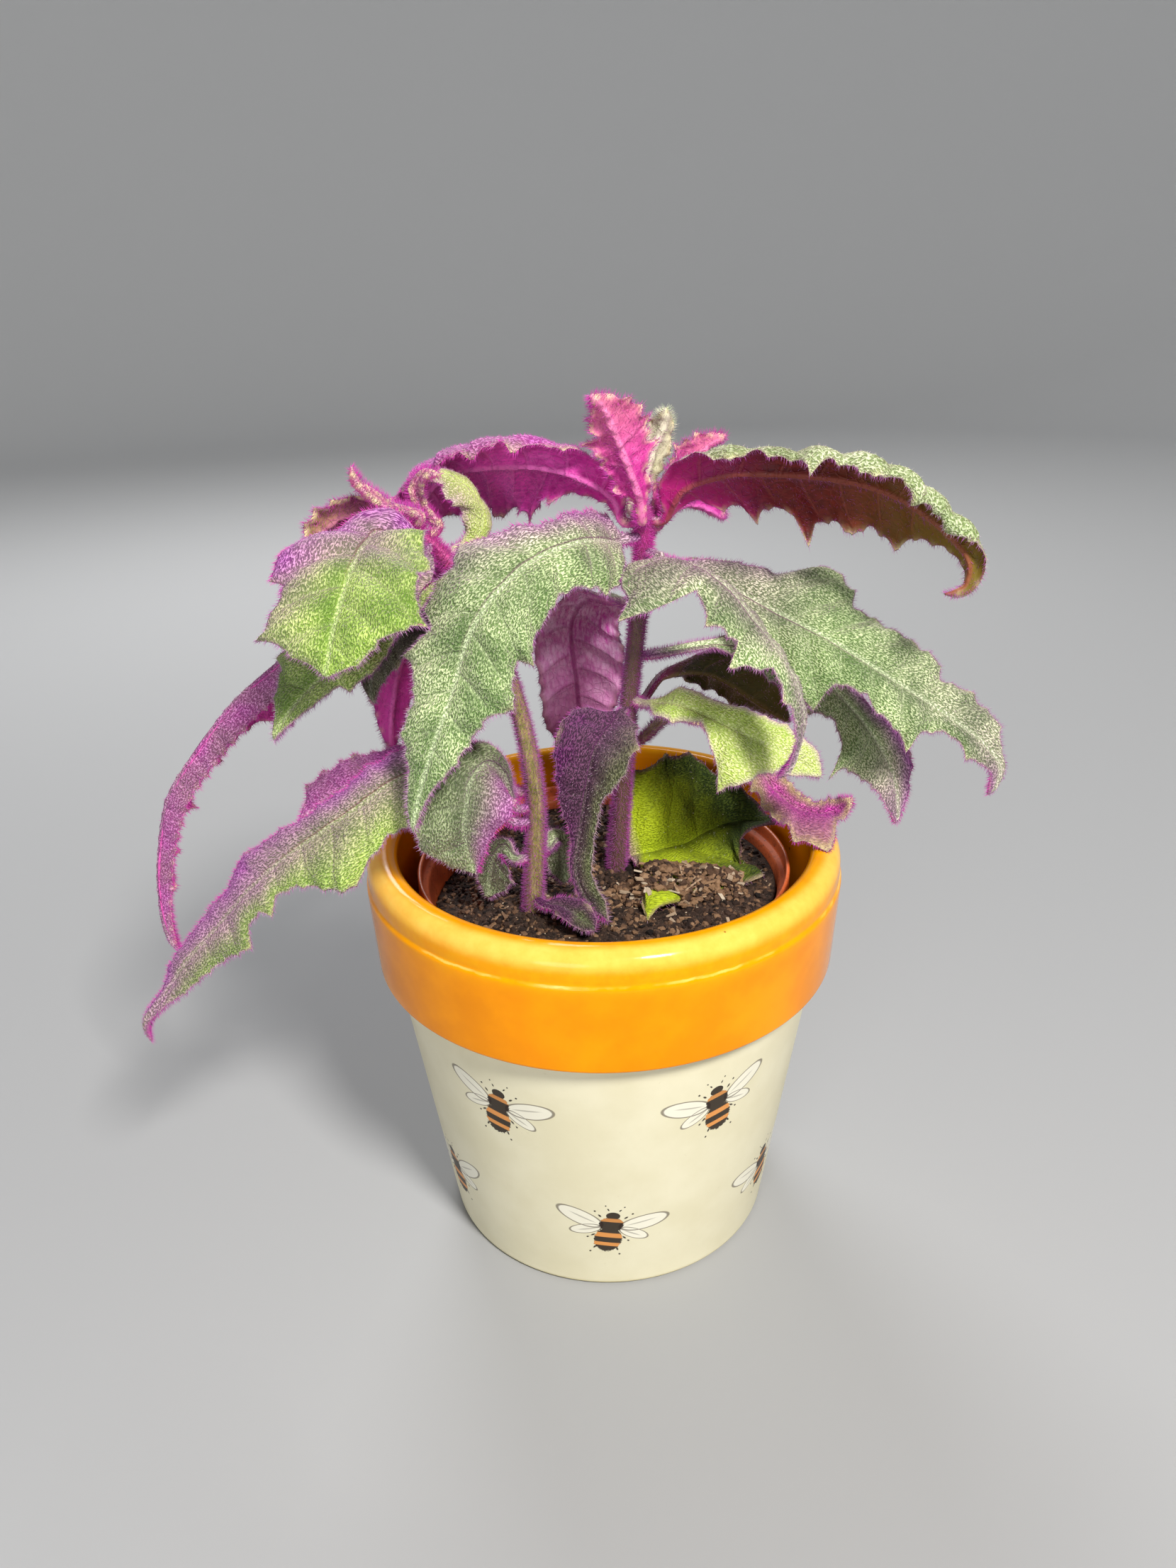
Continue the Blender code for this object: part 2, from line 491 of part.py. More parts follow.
# The left shoot's broad front leaf
leaf("leaf_left_shoot_front", "stem_left", 206, 235,
     via=[(-51, -20, 211), (-53, -28, 210), (-55, -37, 206.5), (-57, -45, 200.5), (-59, -50, 193),
          (-60, -51, 186)],
     face=[(0, (0, -.7, .7)), (.5, (-.1, -1, .7)), (1, (-.2, -1, .4))],
     left=[(.05, 1.5), (.09, 9), (.13, 14), (.18, 12.5), (.24, 10.5), (.35, 13), (.44, 18), (.5, 16),
           (.60, 18), (.65, 22), (.70, 17), (.77, 12), (.86, 9)],
     right=[(.05, 1.5), (.15, 5), (.28, 7), (.35, 9), (.42, 16.5), (.48, 19), (.55, 19.5), (.59, 15),
            (.65, 14), (.72, 16.5), (.78, 20), (.84, 12), (.92, 6)],
     fold=(((0, 10), (1, 0)), ((0, 5), (1, -5))), roll=(-10, -10),
     sweep=((0, -50), (.3, -5), (.5, 15), (1, 25)), finish=BRIGHT_GREEN)

# Below it, a pointed leaf hanging outwards
leaf("leaf_left_shoot_lower", "stem_left", 199, 250,
     via=[(-42, -24, 197), (-52, -27, 191), (-60, -30, 184), (-68, -32, 178), (-74, -33, 172),
          (-79, -33, 164)],
     face=[(0, (-.2, -.4, 1)), (.5, (-.3, -.8, .6)), (1, (-.4, -1, .2))],
     left=[(.12, 1.5), (.25, 6), (.46, 9), (.58, 8), (.61, 5.5), (.70, 5), (.85, 3)],
     right=[(.12, 1.5), (.3, 8), (.5, 11), (.70, 15), (.74, 10), (.78, 8), (.9, 3.5)],
     fold=(0, -10), roll=(-10, -10), sweep=((0, 0), (.3, 20), (1, 25)), finish=BRIGHT_GREEN)

# Low leaf in front of the left stem, its outer edge lit purple
leaf("leaf_front_low", "stem_left", 139, 200,
     via=[(-25, -26, 151), (-28, -31, 156), (-31.5, -36, 154), (-33, -39.5, 147), (-33.5, -40, 138),
          (-31.5, -39, 130)],
     face=[(0, (.2, -.6, 1)), (.35, (.2, -1, .6)), (.6, (.1, -1, .3)), (1, (-.1, -1, .1))],
     left=[(.2, 1.5), (.38, 5), (.5, 9), (.6, 12), (.68, 11), (.76, 7), (.8, 6), (.88, 4.5)],
     right=[(.2, 1.5), (.38, 4), (.5, 8), (.65, 11), (.76, 13), (.83, 12), (.92, 6)],
     fold=(5, -5), roll=(-30, -10), sweep=((0, -30), (.4, -5), (1, 20)))

# The right crown's long leaf, maroon underside to the front, its upper margin rolled over
leaf("leaf_right_arching", "stem_right", 208.5, -12,
     via=[(21, -5, 217), (30, -8, 220.5), (42, -10, 221), (58, -12, 219.5), (72, -14, 215),
          (84, -17, 207), (89, -19, 200), (88, -20, 194.5), (83, -21, 193.5)],
     face=[(0, (0, .3, 1)), (.15, (0, .8, .5)), (.8, (.3, .8, .4)), (1, (.8, .3, -.3))],
     left=[(.06, 1.5), (.12, 6), (.18, 12), (.22, 10.5), (.28, 15.5), (.31, 11.5), (.37, 11.5), (.41, 20.5),
           (.44, 14.5), (.50, 12.5), (.54, 15), (.60, 11), (.68, 13), (.73, 7), (.80, 4), (.90, 2)],
     right=[(.06, 1.5), (.12, 6), (.2, 10), (.25, 13), (.28, 10.5), (.37, 12), (.42, 15), (.45, 12),
            (.55, 14), (.60, 11.5), (.66, 14), (.70, 10.5), (.78, 10.5), (.83, 7), (.9, 3.5)],
     fold=(0, 10), roll=(-15, -150), sweep=((0, 0), (.3, 15), (1, 25)), scale=14, finish=PURPLE)

# Its fellow to the left, magenta underside to the front
leaf("leaf_left_arching", "stem_right", 208.5, 195,
     via=[(4, 0.5, 214.5), (-3, -0.5, 219), (-13, 0, 222), (-27, 6, 221.5), (-38, 13, 218), (-47, 18, 210.5),
          (-53, 21, 203)],
     face=[(0, (-.3, .3, 1)), (.2, (0, .8, .5)), (.8, (-.3, .8, .5)), (1, (-.5, .6, .3))],
     left=[(.08, 1.5), (.15, 5), (.24, 8), (.30, 12), (.33, 9.5), (.40, 13), (.44, 10.5), (.52, 13),
           (.56, 11), (.64, 13), (.72, 11), (.85, 8), (.93, 5)],
     right=[(.08, 1.5), (.15, 4), (.24, 6), (.29, 11), (.32, 9.5), (.38, 14), (.41, 19), (.45, 15.5),
            (.53, 16), (.57, 19), (.60, 17), (.72, 15), (.85, 10), (.93, 5)],
     fold=(10, 0), roll=(-150, -15), sweep=((0, 0), (.3, 10), (1, 25)), scale=14, finish=PURPLE)

# A leaf hanging down behind the stems, shiny magenta underside to the front
leaf("leaf_back_hanging", "stem_right", 183, 105,
     via=[(3, 16, 184), (-3, 26, 182), (-8, 35, 171), (-7, 40, 152), (-6, 41, 134), (-5, 39, 125)],
     face=[(0, (-.2, .6, 1)), (.35, (-.2, 1, .6)), (.6, (0, 1, .1)), (1, (0, 1, -.2))],
     left=[(.12, 1.5), (.2, 4), (.34, 6), (.46, 10.5), (.53, 12), (.65, 12), (.79, 12), (.87, 9), (.94, 5)],
     right=[(.12, 1.5), (.2, 8), (.30, 15), (.50, 17), (.65, 15.5), (.75, 12), (.88, 7)],
     fold=(5, 5), roll=(-20, -20), sweep=((0, 0), (.4, 20), (1, 25)), finish=PURPLE)

# The old broad leaf, one half lying on the peat and the other leaning up behind
leaf("leaf_old_on_soil", "stem_right", 111.2, 30,
     via=[(15, 6, 111.8), (24, 9, 112.3), (32, 14, 114), (40, 14, 116.5), (47, 9, 119), (52, 4, 121.5)],
     face=[(0, (0, -.1, 1)), (.7, (0, -.2, 1)), (1, (0, -.2, 1))],
     left=[(.04, 1.5), (.08, 12), (.16, 23), (.33, 27), (.53, 25), (.62, 17), (.72, 8), (.82, 3)],
     right=[(.03, 1.5), (.07, 20), (.12, 32), (.20, 27), (.23, 22), (.32, 23), (.42, 25), (.53, 24),
            (.62, 19), (.70, 12), (.78, 6), (.88, 3)],
     fold=(((0, 60), (.6, 65), (.85, 20), (1, 0)), ((0, 3), (.6, -5), (.85, 0), (1, 0))), roll=(10, 0),
     sweep=((0, -12), (.5, 5), (1, 20)), scale=30, finish=YELLOW_GREEN)

# A curled leaf end reaching over the rim at the right
leaf("leaf_rim_curl", "stem_right", 147, 35,
     via=[(20, 14, 150), (34, 18, 145), (43, 15, 137), (49, 9, 129), (55, 4, 125.5), (61, 0, 125),
          (66, -1, 127), (69, -2, 131)],
     face=[(0, (0, -.3, 1)), (.6, (.2, -.4, .9)), (.8, (0, -.15, 1)), (.9, (-.2, -.2, 1)), (1, (-.8, -.5, .3))],
     left=[(.15, 1.5), (.3, 4), (.5, 5), (.65, 5), (.8, 4), (.9, 5), (.96, 3)],
     right=[(.15, 1.5), (.3, 4), (.5, 5), (.65, 6), (.76, 9), (.84, 15), (.88, 16), (.91, 6), (.96, 3)],
     fold=(20, 4), roll=(60, 6), sweep=10, finish=PURPLE)

# The right crown's young leaves
leaf("leaf_crown_young", "stem_right", 209.8, 265,
     via=[(10.5, -7, 215), (8.5, -8.5, 221), (5, -9.5, 230), (2, -12, 237), (-1, -15, 240)],
     face=[(0, (0, 1, .2)), (1, (0, 1, .3))],
     left=[(.2, 1.5), (.3, 3.5), (.4, 3.5), (.5, 8), (.55, 6), (.63, 8.5), (.68, 7), (.75, 7), (.85, 4)],
     right=[(.2, 1.5), (.3, 4.5), (.4, 5), (.5, 6.5), (.55, 5), (.63, 8.5), (.68, 4), (.75, 5.5),
            (.85, 3.5)],
     fold=(10, 10), roll=(20, 20), sweep=10, finish=PINK)
leaf("leaf_crown_woolly", "stem_right", 210, 125,
     via=[(11.5, 6, 216), (14, 9, 223), (17, 10, 230), (17.5, 8, 234)],
     face=[(0, (0, 1, .1)), (1, (0, 1, .3))],
     left=[(.2, 1.5), (.4, 4), (.65, 5), (.85, 3)], right=[(.2, 1.5), (.4, 4.5), (.55, 6), (.8, 4)],
     fold=(20, 20), roll=(20, 20), columns=5, finish=YELLOW_GREEN)
leaf("leaf_crown_right", "stem_right", 206.3, 32,
     via=[(15.5, 4, 212), (21, 7, 219), (27, 9, 224.5), (33, 10, 227)],
     face=[(0, (-.3, .3, 1)), (1, (-.2, .8, .6))],
     left=[(.15, 1.5), (.35, 4), (.6, 5), (.85, 3)], right=[(.15, 1.5), (.35, 5), (.6, 6), (.8, 4)],
     fold=(15, 15), roll=(20, 20), columns=5, finish=PINK)
leaf("leaf_crown_right_low", "stem_right", 204, 65,
     via=[(16, 7, 207), (22, 12, 210), (28, 15, 209), (34, 15, 205)],
     face=[(0, (0, .5, 1)), (1, (.2, .8, .6))],
     left=[(.15, 1.5), (.35, 5), (.6, 6), (.85, 3)], right=[(.15, 1.5), (.35, 5), (.6, 7), (.8, 5)],
     fold=(5, 5), roll=(10, -30), columns=5, finish=PURPLE)

# The left shoot's young leaves: a spike, a curl, a rolled leaf and a cupped one
leaf("leaf_left_shoot_spike", "stem_left", 209, 180, pitch=70,
     via=[(-50, -11.5, 215), (-54, -12, 218), (-57, -13, 221.5), (-57.5, -14, 225)],
     face=[(0, (.5, -.6, .6)), (1, (.9, -.4, .2))],
     left=[(.2, 1.4), (.6, 2), (.85, 1.4)], right=[(.2, 1.4), (.6, 2), (.85, 1.4)],
     fold=(30, 30), columns=5, finish=PINK)
leaf("leaf_left_shoot_curl", "stem_left", 207.2, 60, pitch=50,
     via=[(-42, -9, 214), (-43, -9, 218), (-41, -10.5, 222), (-37, -12, 222.5)],
     face=[(0, (-.6, -.6, .4)), (1, (.2, -.8, .7))],
     left=[(.2, 1.4), (.6, 2.6), (.85, 1.6)], right=[(.2, 1.4), (.6, 2.6), (.85, 1.6)],
     fold=(30, 30), columns=5, finish=PINK)
leaf("leaf_left_shoot_rolled", "stem_left", 208.2, 110,
     via=[(-49, -6, 212), (-56, -6, 213.5), (-63, -6, 212), (-69, -6, 207.5), (-72.5, -8, 201)],
     face=[(0, (0, .3, 1)), (.4, (0, .8, .6)), (1, (-.5, .7, .3))],
     left=[(.15, 1.5), (.3, 4.5), (.5, 5.5), (.75, 5), (.9, 2.5)],
     right=[(.15, 1.5), (.3, 6), (.42, 9), (.5, 7.5), (.62, 9), (.75, 7), (.9, 3)],
     fold=(0, 10), roll=(0, -120), scale=9, finish=PURPLE)
leaf("leaf_left_shoot_cupped", "stem_left", 203, 60,
     via=[(-30, -7, 206), (-28, -4, 212), (-31, -3, 218), (-37, -4, 222), (-42, -7, 220)],
     face=[(0, (.8, -.3, .4)), (.5, (.9, -.3, .5)), (1, (-.2, -.2, 1))],
     left=[(.15, 1.5), (.3, 6), (.5, 8), (.7, 7), (.88, 4)],
     right=[(.15, 1.5), (.3, 6), (.5, 8), (.7, 7), (.88, 4)],
     fold=(-20, -20), roll=(-40, -40), scale=9, finish=BRIGHT_GREEN)

# Two darker leaves behind the left shoot
leaf("leaf_left_back_dark", "stem_left", 187, 110,
     via=[(-32, -5, 190), (-42, 5, 187), (-52, 15, 176), (-58, 21, 160), (-61, 22, 146), (-61, 20, 137)],
     face=[(0, (-.2, .4, 1)), (.5, (-.3, .9, .3)), (1, (-.3, 1, 0))],
     left=[(.15, 1.5), (.3, 6), (.5, 9), (.6, 7), (.75, 8), (.88, 4)],
     right=[(.15, 1.5), (.3, 6), (.5, 8), (.65, 9), (.75, 6), (.88, 4)],
     fold=(5, 5), roll=(-20, -20), finish=PURPLE)
leaf("leaf_left_back_small", "stem_left", 179, 150,
     via=[(-36, -11, 183), (-47, -5, 183), (-56, 0, 177), (-61, 2, 169), (-61, 2, 160)],
     face=[(0, (-.2, -.3, 1)), (.6, (-.3, -.8, .4)), (1, (-.3, -1, .2))],
     left=[(.15, 1.5), (.4, 5), (.6, 8), (.8, 6), (.9, 3)], right=[(.15, 1.5), (.4, 5), (.6, 7), (.85, 4)],
     fold=(5, 5), roll=(-20, -20), columns=5, finish=DARK_GREEN)

# Small leaves low down at the peat
leaf("leaf_soil_left", "stem_left", 124, 195,
     via=[(-26, -20, 127), (-29.5, -18, 122), (-31, -17, 115), (-31.5, -17, 110)],
     face=[(0, (-.5, -.5, 1)), (.5, (-.5, -1, .2)), (1, (-.3, -1, .2))],
     left=[(.2, 1.5), (.4, 6), (.6, 7.5), (.8, 5.5)], right=[(.2, 1.5), (.4, 4), (.6, 5), (.8, 4)],
     fold=(-5, -5), roll=(-20, -20), columns=5)
leaf("leaf_soil_centre", "stem_left", 125, 55,
     via=[(-13, -13, 126), (-11.5, -11, 121), (-11, -10.5, 115), (-11, -10.5, 110.5)],
     face=[(0, (.2, -.5, 1)), (.5, (.2, -1, .2)), (1, (.2, -1, .2))],
     left=[(.2, 1.5), (.4, 4), (.6, 5), (.8, 4)], right=[(.2, 1.5), (.4, 4), (.6, 5), (.8, 4)],
     fold=(-5, -5), roll=(-10, -10), columns=5)
leaf("leaf_soil_sprout", "stem_left", 112, -55,
     via=[(-12, -27, 113), (-8.5, -31, 113.5), (-5, -34, 112), (-2.5, -36, 110.5)],
     face=[(0, (0, -.4, 1)), (1, (.2, -.7, .7))],
     left=[(.2, 1.5), (.45, 4), (.7, 4.5), (.88, 3)], right=[(.2, 1.5), (.45, 4), (.7, 3.5), (.88, 2.5)],
     fold=(5, 5), roll=(-20, -20), columns=5, finish=PURPLE_GREY)

# Two leaves on the side that faces away
leaf("leaf_back_right", "stem_right", 187, 60,
     via=[(20, 14, 191), (32, 28, 190), (46, 41, 181), (56, 50, 167), (61, 54, 152)],
     face=[(0, (0, .2, 1)), (.6, (.3, .5, .7)), (1, (.5, .7, .2))],
     left=[(.12, 1.5), (.22, 9), (.32, 13), (.36, 10), (.48, 15), (.53, 11), (.68, 13), (.73, 9), (.88, 5)],
     right=[(.12, 1.5), (.22, 8), (.32, 13), (.36, 10), (.48, 14), (.53, 11), (.68, 12), (.73, 9),
            (.88, 5)],
     fold=(-5, -5), roll=(-15, -15), sweep=20)
leaf("leaf_back_left", "stem_left", 194, 80,
     via=[(-28, -4, 197), (-31, 10, 197.5), (-37, 26, 194), (-45, 40, 184), (-51, 48, 170), (-54, 51, 158)],
     face=[(0, (0, .1, 1)), (.6, (-.3, .6, .7)), (1, (-.3, .8, .2))],
     left=[(.12, 1.5), (.22, 9), (.32, 13), (.36, 10), (.48, 14), (.53, 11), (.68, 12), (.73, 9), (.88, 5)],
     right=[(.12, 1.5), (.22, 8), (.32, 13), (.36, 10), (.48, 15), (.53, 11), (.68, 13), (.73, 9),
            (.88, 5)],
     fold=(-5, -5), roll=(-15, -15), sweep=20)
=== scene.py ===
import json
import math
from math import cos, radians, sin

import bmesh
import bpy
import numpy as np
from mathutils import Matrix, Vector, noise

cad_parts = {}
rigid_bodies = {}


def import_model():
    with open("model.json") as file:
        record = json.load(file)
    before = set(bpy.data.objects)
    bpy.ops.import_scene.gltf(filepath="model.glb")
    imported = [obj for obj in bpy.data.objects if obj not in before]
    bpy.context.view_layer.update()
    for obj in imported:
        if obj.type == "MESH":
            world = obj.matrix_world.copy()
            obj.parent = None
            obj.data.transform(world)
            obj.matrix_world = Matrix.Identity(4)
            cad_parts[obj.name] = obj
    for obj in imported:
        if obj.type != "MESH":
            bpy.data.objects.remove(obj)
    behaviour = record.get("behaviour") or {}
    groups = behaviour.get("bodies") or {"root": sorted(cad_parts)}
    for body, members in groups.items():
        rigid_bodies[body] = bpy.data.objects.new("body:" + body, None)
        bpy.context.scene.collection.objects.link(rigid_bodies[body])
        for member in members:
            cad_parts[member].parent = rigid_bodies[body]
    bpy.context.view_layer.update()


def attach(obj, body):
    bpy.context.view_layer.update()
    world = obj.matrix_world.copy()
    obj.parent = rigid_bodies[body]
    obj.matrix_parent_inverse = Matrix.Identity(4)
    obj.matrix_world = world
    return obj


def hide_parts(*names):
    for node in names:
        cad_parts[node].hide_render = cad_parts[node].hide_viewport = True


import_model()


# Camera. The photograph was taken from just in front of the pot, looking down on the plant with a wide
# lens held a little off level.
LENS = 27.04                                # on a 36 mm long side
CAMERA_AT = Vector((0, -0.2965, 0.2708))
CAMERA_AIM = Vector((-0.0117, 0.910, -0.4145))
CAMERA_ROLL = radians(-1.36)


def link(obj):
    bpy.context.scene.collection.objects.link(obj)


aim = CAMERA_AIM.normalized()
level = aim.cross(Vector((0, 0, 1))).normalized()
upright = level.cross(aim)
across = cos(CAMERA_ROLL) * level + sin(CAMERA_ROLL) * upright
camera = bpy.data.objects.new("camera", bpy.data.cameras.new("camera"))
camera.data.lens = LENS
camera.data.sensor_width = 36
camera.data.clip_start = 0.01
turned_to = Matrix((across, across.cross(aim), -aim)).transposed().to_4x4()
camera.matrix_world = Matrix.Translation(CAMERA_AT) @ turned_to
link(camera)
bpy.context.scene.camera = camera
bpy.context.scene.view_settings.view_transform = 'Standard'


# Studio. A pale floor that the pot stands on and that curves up into a wall all round, a large soft
# light above and to the right of the camera, weaker ones to the left and behind, and a pale sky.
FLOOR_R = 1.7
FLOOR_STEPS = 96
COVE_R = 0.7
WALL_TOP = 1.5
PLANT_MIDDLE = Vector((0, 0, 0.13))


class Wire:
    """One output in a node tree. Arithmetic on it adds Math nodes; any other node comes from node()."""

    def __init__(self, tree, output=None):
        self.tree = tree
        self.output = output

    def node(self, kind, settings=(), sockets=(), out=0):
        """A new node: its settings first, then the values or links of its sockets, by name or number."""
        made = self.tree.nodes.new(kind)
        for key, value in dict(settings).items():
            if key == "stops":
                while len(made.color_ramp.elements) < len(value):
                    made.color_ramp.elements.new(0.5)
                for stop, (at, colour) in zip(made.color_ramp.elements, value):
                    stop.position = at
                    stop.color = screen(*colour)
            else:
                setattr(made, key, value)
        for key, value in dict(sockets).items():
            if isinstance(value, Wire):
                self.tree.links.new(value.output, made.inputs[key])
            else:
                made.inputs[key].default_value = value
        return Wire(self.tree, made.outputs[out])

    def math(self, operation, *values):
        """One Math node on these values."""
        return self.node("ShaderNodeMath", {"operation": operation}, enumerate(values))

    def __add__(self, other):
        return self.math("ADD", self, other)

    __radd__ = __add__

    def __sub__(self, other):
        return self.math("SUBTRACT", self, other)

    def __rsub__(self, other):
        return self.math("SUBTRACT", other, self)

    def __mul__(self, other):
        return self.math("MULTIPLY", self, other)

    __rmul__ = __mul__

    def __truediv__(self, other):
        return self.math("DIVIDE", self, other)

    def __rtruediv__(self, other):
        return self.math("DIVIDE", other, self)

    def __pow__(self, other):
        return self.math("POWER", self, other)

    def __abs__(self):
        return self.math("ABSOLUTE", self)

    def step(self, low, high):
        """0 below low and 1 above high with a soft change between, or the reverse where low is the larger."""
        return self.node("ShaderNodeMapRange", {"interpolation_type": 'SMOOTHSTEP'},
                         {"Value": self, "From Min": low, "From Max": high})

    def mix(self, low, high):
        """The colour low where this is 0 and high where it is 1. Three plain numbers are a screen colour."""
        low, high = [screen(*end) if isinstance(end, tuple) and len(end) == 3 else end for end in (low, high)]
        return self.node("ShaderNodeMix", {"data_type": 'RGBA'}, {0: self, 6: low, 7: high}, 2)

    def parts(self):
        """The three numbers of a vector."""
        split = self.node("ShaderNodeSeparateXYZ", (), {0: self})
        return [Wire(self.tree, out) for out in split.output.node.outputs]

    def grain(self, per_mm, detail=2.0, roughness=0.5):
        """Noise between 0 and 1 at these coordinates, with so many lumps to a millimetre."""
        return self.node("ShaderNodeTexNoise", (), {
            "Vector": self, "Scale": per_mm * 1000, "Detail": detail, "Roughness": roughness})

    def attribute(self, name):
        """A number kept on the mesh's points."""
        return self.node("ShaderNodeAttribute", {"attribute_name": name}, out="Fac")

    def bump(self, strength, distance):
        """The normal of a skin raised by this height. The distance is in metres."""
        return self.node("ShaderNodeBump", (), {"Strength": strength, "Distance": distance, "Height": self})


def surface(name, constants=()):
    """A new material: its object coordinates as a wire, and its shader with the even values set."""
    made = bpy.data.materials.new(name)
    made.use_nodes = True
    shader = made.node_tree.nodes["Principled BSDF"]
    for key, value in dict(constants).items():
        shader.inputs[key].default_value = value
    return made, Wire(made.node_tree).node("ShaderNodeTexCoord", out="Object"), shader


def feed(shader, **wires):
    """Links wires to a shader's sockets; a socket's spaces are written as underscores."""
    for key, wire in wires.items():
        wire.tree.links.new(wire.output, shader.inputs[key.replace("_", " ")])


def screen(red, green, blue):
    """Linear colour from 0-255 screen values."""
    return tuple(((v / 255 + 0.055) / 1.055) ** 2.4 if v > 10 else v / 255 / 12.92
                 for v in (red, green, blue)) + (1.0,)


def soft_light(name, place, size, watts, colour):
    """A round lamp that faces the plant."""
    lamp = bpy.data.lights.new(name, 'AREA')
    lamp.shape = 'DISK'
    lamp.size = size
    lamp.energy = watts
    lamp.color = colour
    obj = bpy.data.objects.new(name, lamp)
    obj.location = place
    obj.rotation_euler = (PLANT_MIDDLE - Vector(place)).to_track_quat('-Z', 'Y').to_euler()
    link(obj)


def round_circle(steps):
    """Angles at even steps round a circle."""
    return np.linspace(0, 2 * math.pi, steps, endpoint=False)


def finished(name, bm):
    """A smooth plain mesh of a bmesh, its faces turned outwards."""
    bmesh.ops.recalc_face_normals(bm, faces=bm.faces)
    made = bpy.data.meshes.new(name)
    bm.to_mesh(made)
    bm.free()
    made.shade_smooth()
    return made


soft_light("key_light", (0.34, -0.66, 0.9), 0.22, 16.0, (1.0, 0.97, 0.92))
soft_light("fill_light", (-0.3, -0.9, 0.36), 0.4, 2.6, (0.97, 0.98, 1.0))
soft_light("rim_light", (-0.25, 0.8, 0.85), 0.5, 7, (1.0, 1.0, 1.0))

surround = bpy.data.worlds.new("surround")
surround.use_nodes = True
surround.node_tree.nodes["Background"].inputs["Color"].default_value = (0.80, 0.82, 0.85, 1)
surround.node_tree.nodes["Background"].inputs["Strength"].default_value = 0.21
bpy.context.scene.world = surround

pale, place, shader = surface("pale_floor", {"Roughness": 0.85})
floor_x, floor_y, _ = place.parts()
# The floor is darker near the pot: painted shade that tones down the key light's bright pool there and its
# bounce onto the pot.
far = ((floor_x * floor_x + floor_y * floor_y) ** 0.5).step(0.1, FLOOR_R)
feed(shader, Base_Color=far.mix((160, 161, 163), (228, 229, 230)))
side_view = [(FLOOR_R * 0.5, 0.0), (FLOOR_R, 0.0)]
side_view += [(FLOOR_R + COVE_R * sin(a), COVE_R * (1 - cos(a))) for a in np.linspace(0.1, math.pi / 2, 16)]
side_view += [(FLOOR_R + COVE_R, WALL_TOP)]
bm = bmesh.new()
rings = [[bm.verts.new((r * cos(a), r * sin(a), z)) for a in round_circle(FLOOR_STEPS)]
         for r, z in side_view]
bm.faces.new(rings[0])
for inner, outer in zip(rings, rings[1:]):
    for k in range(FLOOR_STEPS):
        bm.faces.new((inner[k], inner[k - 1], outer[k - 1], outer[k]))
floor = bpy.data.objects.new("floor", finished("floor", bm))
floor.data.materials.append(pale)
link(floor)


# Cover pot. Thrown and turned earthenware: a thick rolled rim and band dipped in amber glaze over a
# tapered cream body. The glaze breaks to pale yellow where it ran thin over the lip, and a hairline
# crease runs round under it. Plain bees of a simple design are printed on the body in two rows.
MM = 0.001
POT_HEIGHT = 122.0
POT_RIM_R = 66.0
POT_BAND_LOW_Z = 87.3
POT_BODY_R = 60.7
POT_BASE_R = 48.5
POT_MOUTH_R = 57.4
POT_WALL = 4.6
POT_FLOOR = 7.0
POT_LIP_ROUND = 3.2                         # radius of the lip's inner edge
POT_RIM_ROUND = 5.0                         # and of its outer edge
POT_FOOT_ROUND = 1.7
POT_CORNER = 4                              # fillet inside, at the floor
CREASE_Z = 113.3
TURNED_STEPS = 192
BEES_IN_A_ROW = 6
BEE_ROWS_Z = (24.0, 65.0)
BEE_TILT = radians(9)
BEE_SCALE = 1.15


def arc(cx, cz, radius, start, end, count):
    """Points on an arc of a profile, by angle in degrees from +X."""
    return [(cx + radius * cos(radians(a)), cz + radius * sin(radians(a)))
            for a in np.linspace(start, end, count)]


def between(a, b, count):
    """Evenly spaced points from a up to, but not including, b."""
    return [(a[0] + (b[0] - a[0]) * i / count, a[1] + (b[1] - a[1]) * i / count) for i in range(count)]


def show(obj, node, finish=None):
    """Puts a finished piece in the scene, in place of its solid where it has one."""
    link(obj)
    if finish:
        obj.data.materials.clear()
        obj.data.materials.append(finish)
    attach(obj, "root")
    if node:
        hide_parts(node)
    return obj


def level_ring(bm, r, z, steps):
    """Points round the axis at radius r and height z."""
    return [bm.verts.new((r * MM * cos(a), r * MM * sin(a), z * MM)) for a in round_circle(steps)]


def turned(name, profile, steps=TURNED_STEPS):
    """A closed solid of revolution from (radius, height) points, both ends on the axis."""
    bm = bmesh.new()
    rings = []
    for r, z in profile:
        if r == 0:
            rings.append([bm.verts.new((0, 0, z * MM))] * steps)
        else:
            rings.append(level_ring(bm, r, z, steps))
    for inner, outer in zip(rings, rings[1:]):
        for k in range(steps):
            n = (k + 1) % steps
            corners = dict.fromkeys((inner[k], inner[n], outer[n], outer[k]))
            bm.faces.new(list(corners))
    return bpy.data.objects.new(name, finished(name, bm))


body_slope = (POT_BODY_R - POT_BASE_R) / POT_BAND_LOW_Z
inner_foot = POT_BASE_R - POT_WALL + body_slope * POT_FLOOR
pot_profile = between((0, POT_FLOOR), (inner_foot - POT_CORNER, POT_FLOOR), 4)
pot_profile += arc(inner_foot - POT_CORNER, POT_FLOOR + POT_CORNER, POT_CORNER, 270, 352, 6)
pot_profile += between((inner_foot + 0.4, POT_FLOOR + 5), (POT_BODY_R - POT_WALL, POT_BAND_LOW_Z), 8)
pot_profile += between((POT_BODY_R - POT_WALL, POT_BAND_LOW_Z), (POT_MOUTH_R, 117.0), 5)
pot_profile += arc(POT_MOUTH_R + POT_LIP_ROUND, POT_HEIGHT - POT_LIP_ROUND, POT_LIP_ROUND, 178, 95, 9)
pot_profile += arc(POT_RIM_R - POT_RIM_ROUND, POT_HEIGHT - POT_RIM_ROUND, POT_RIM_ROUND, 88, 2, 14)
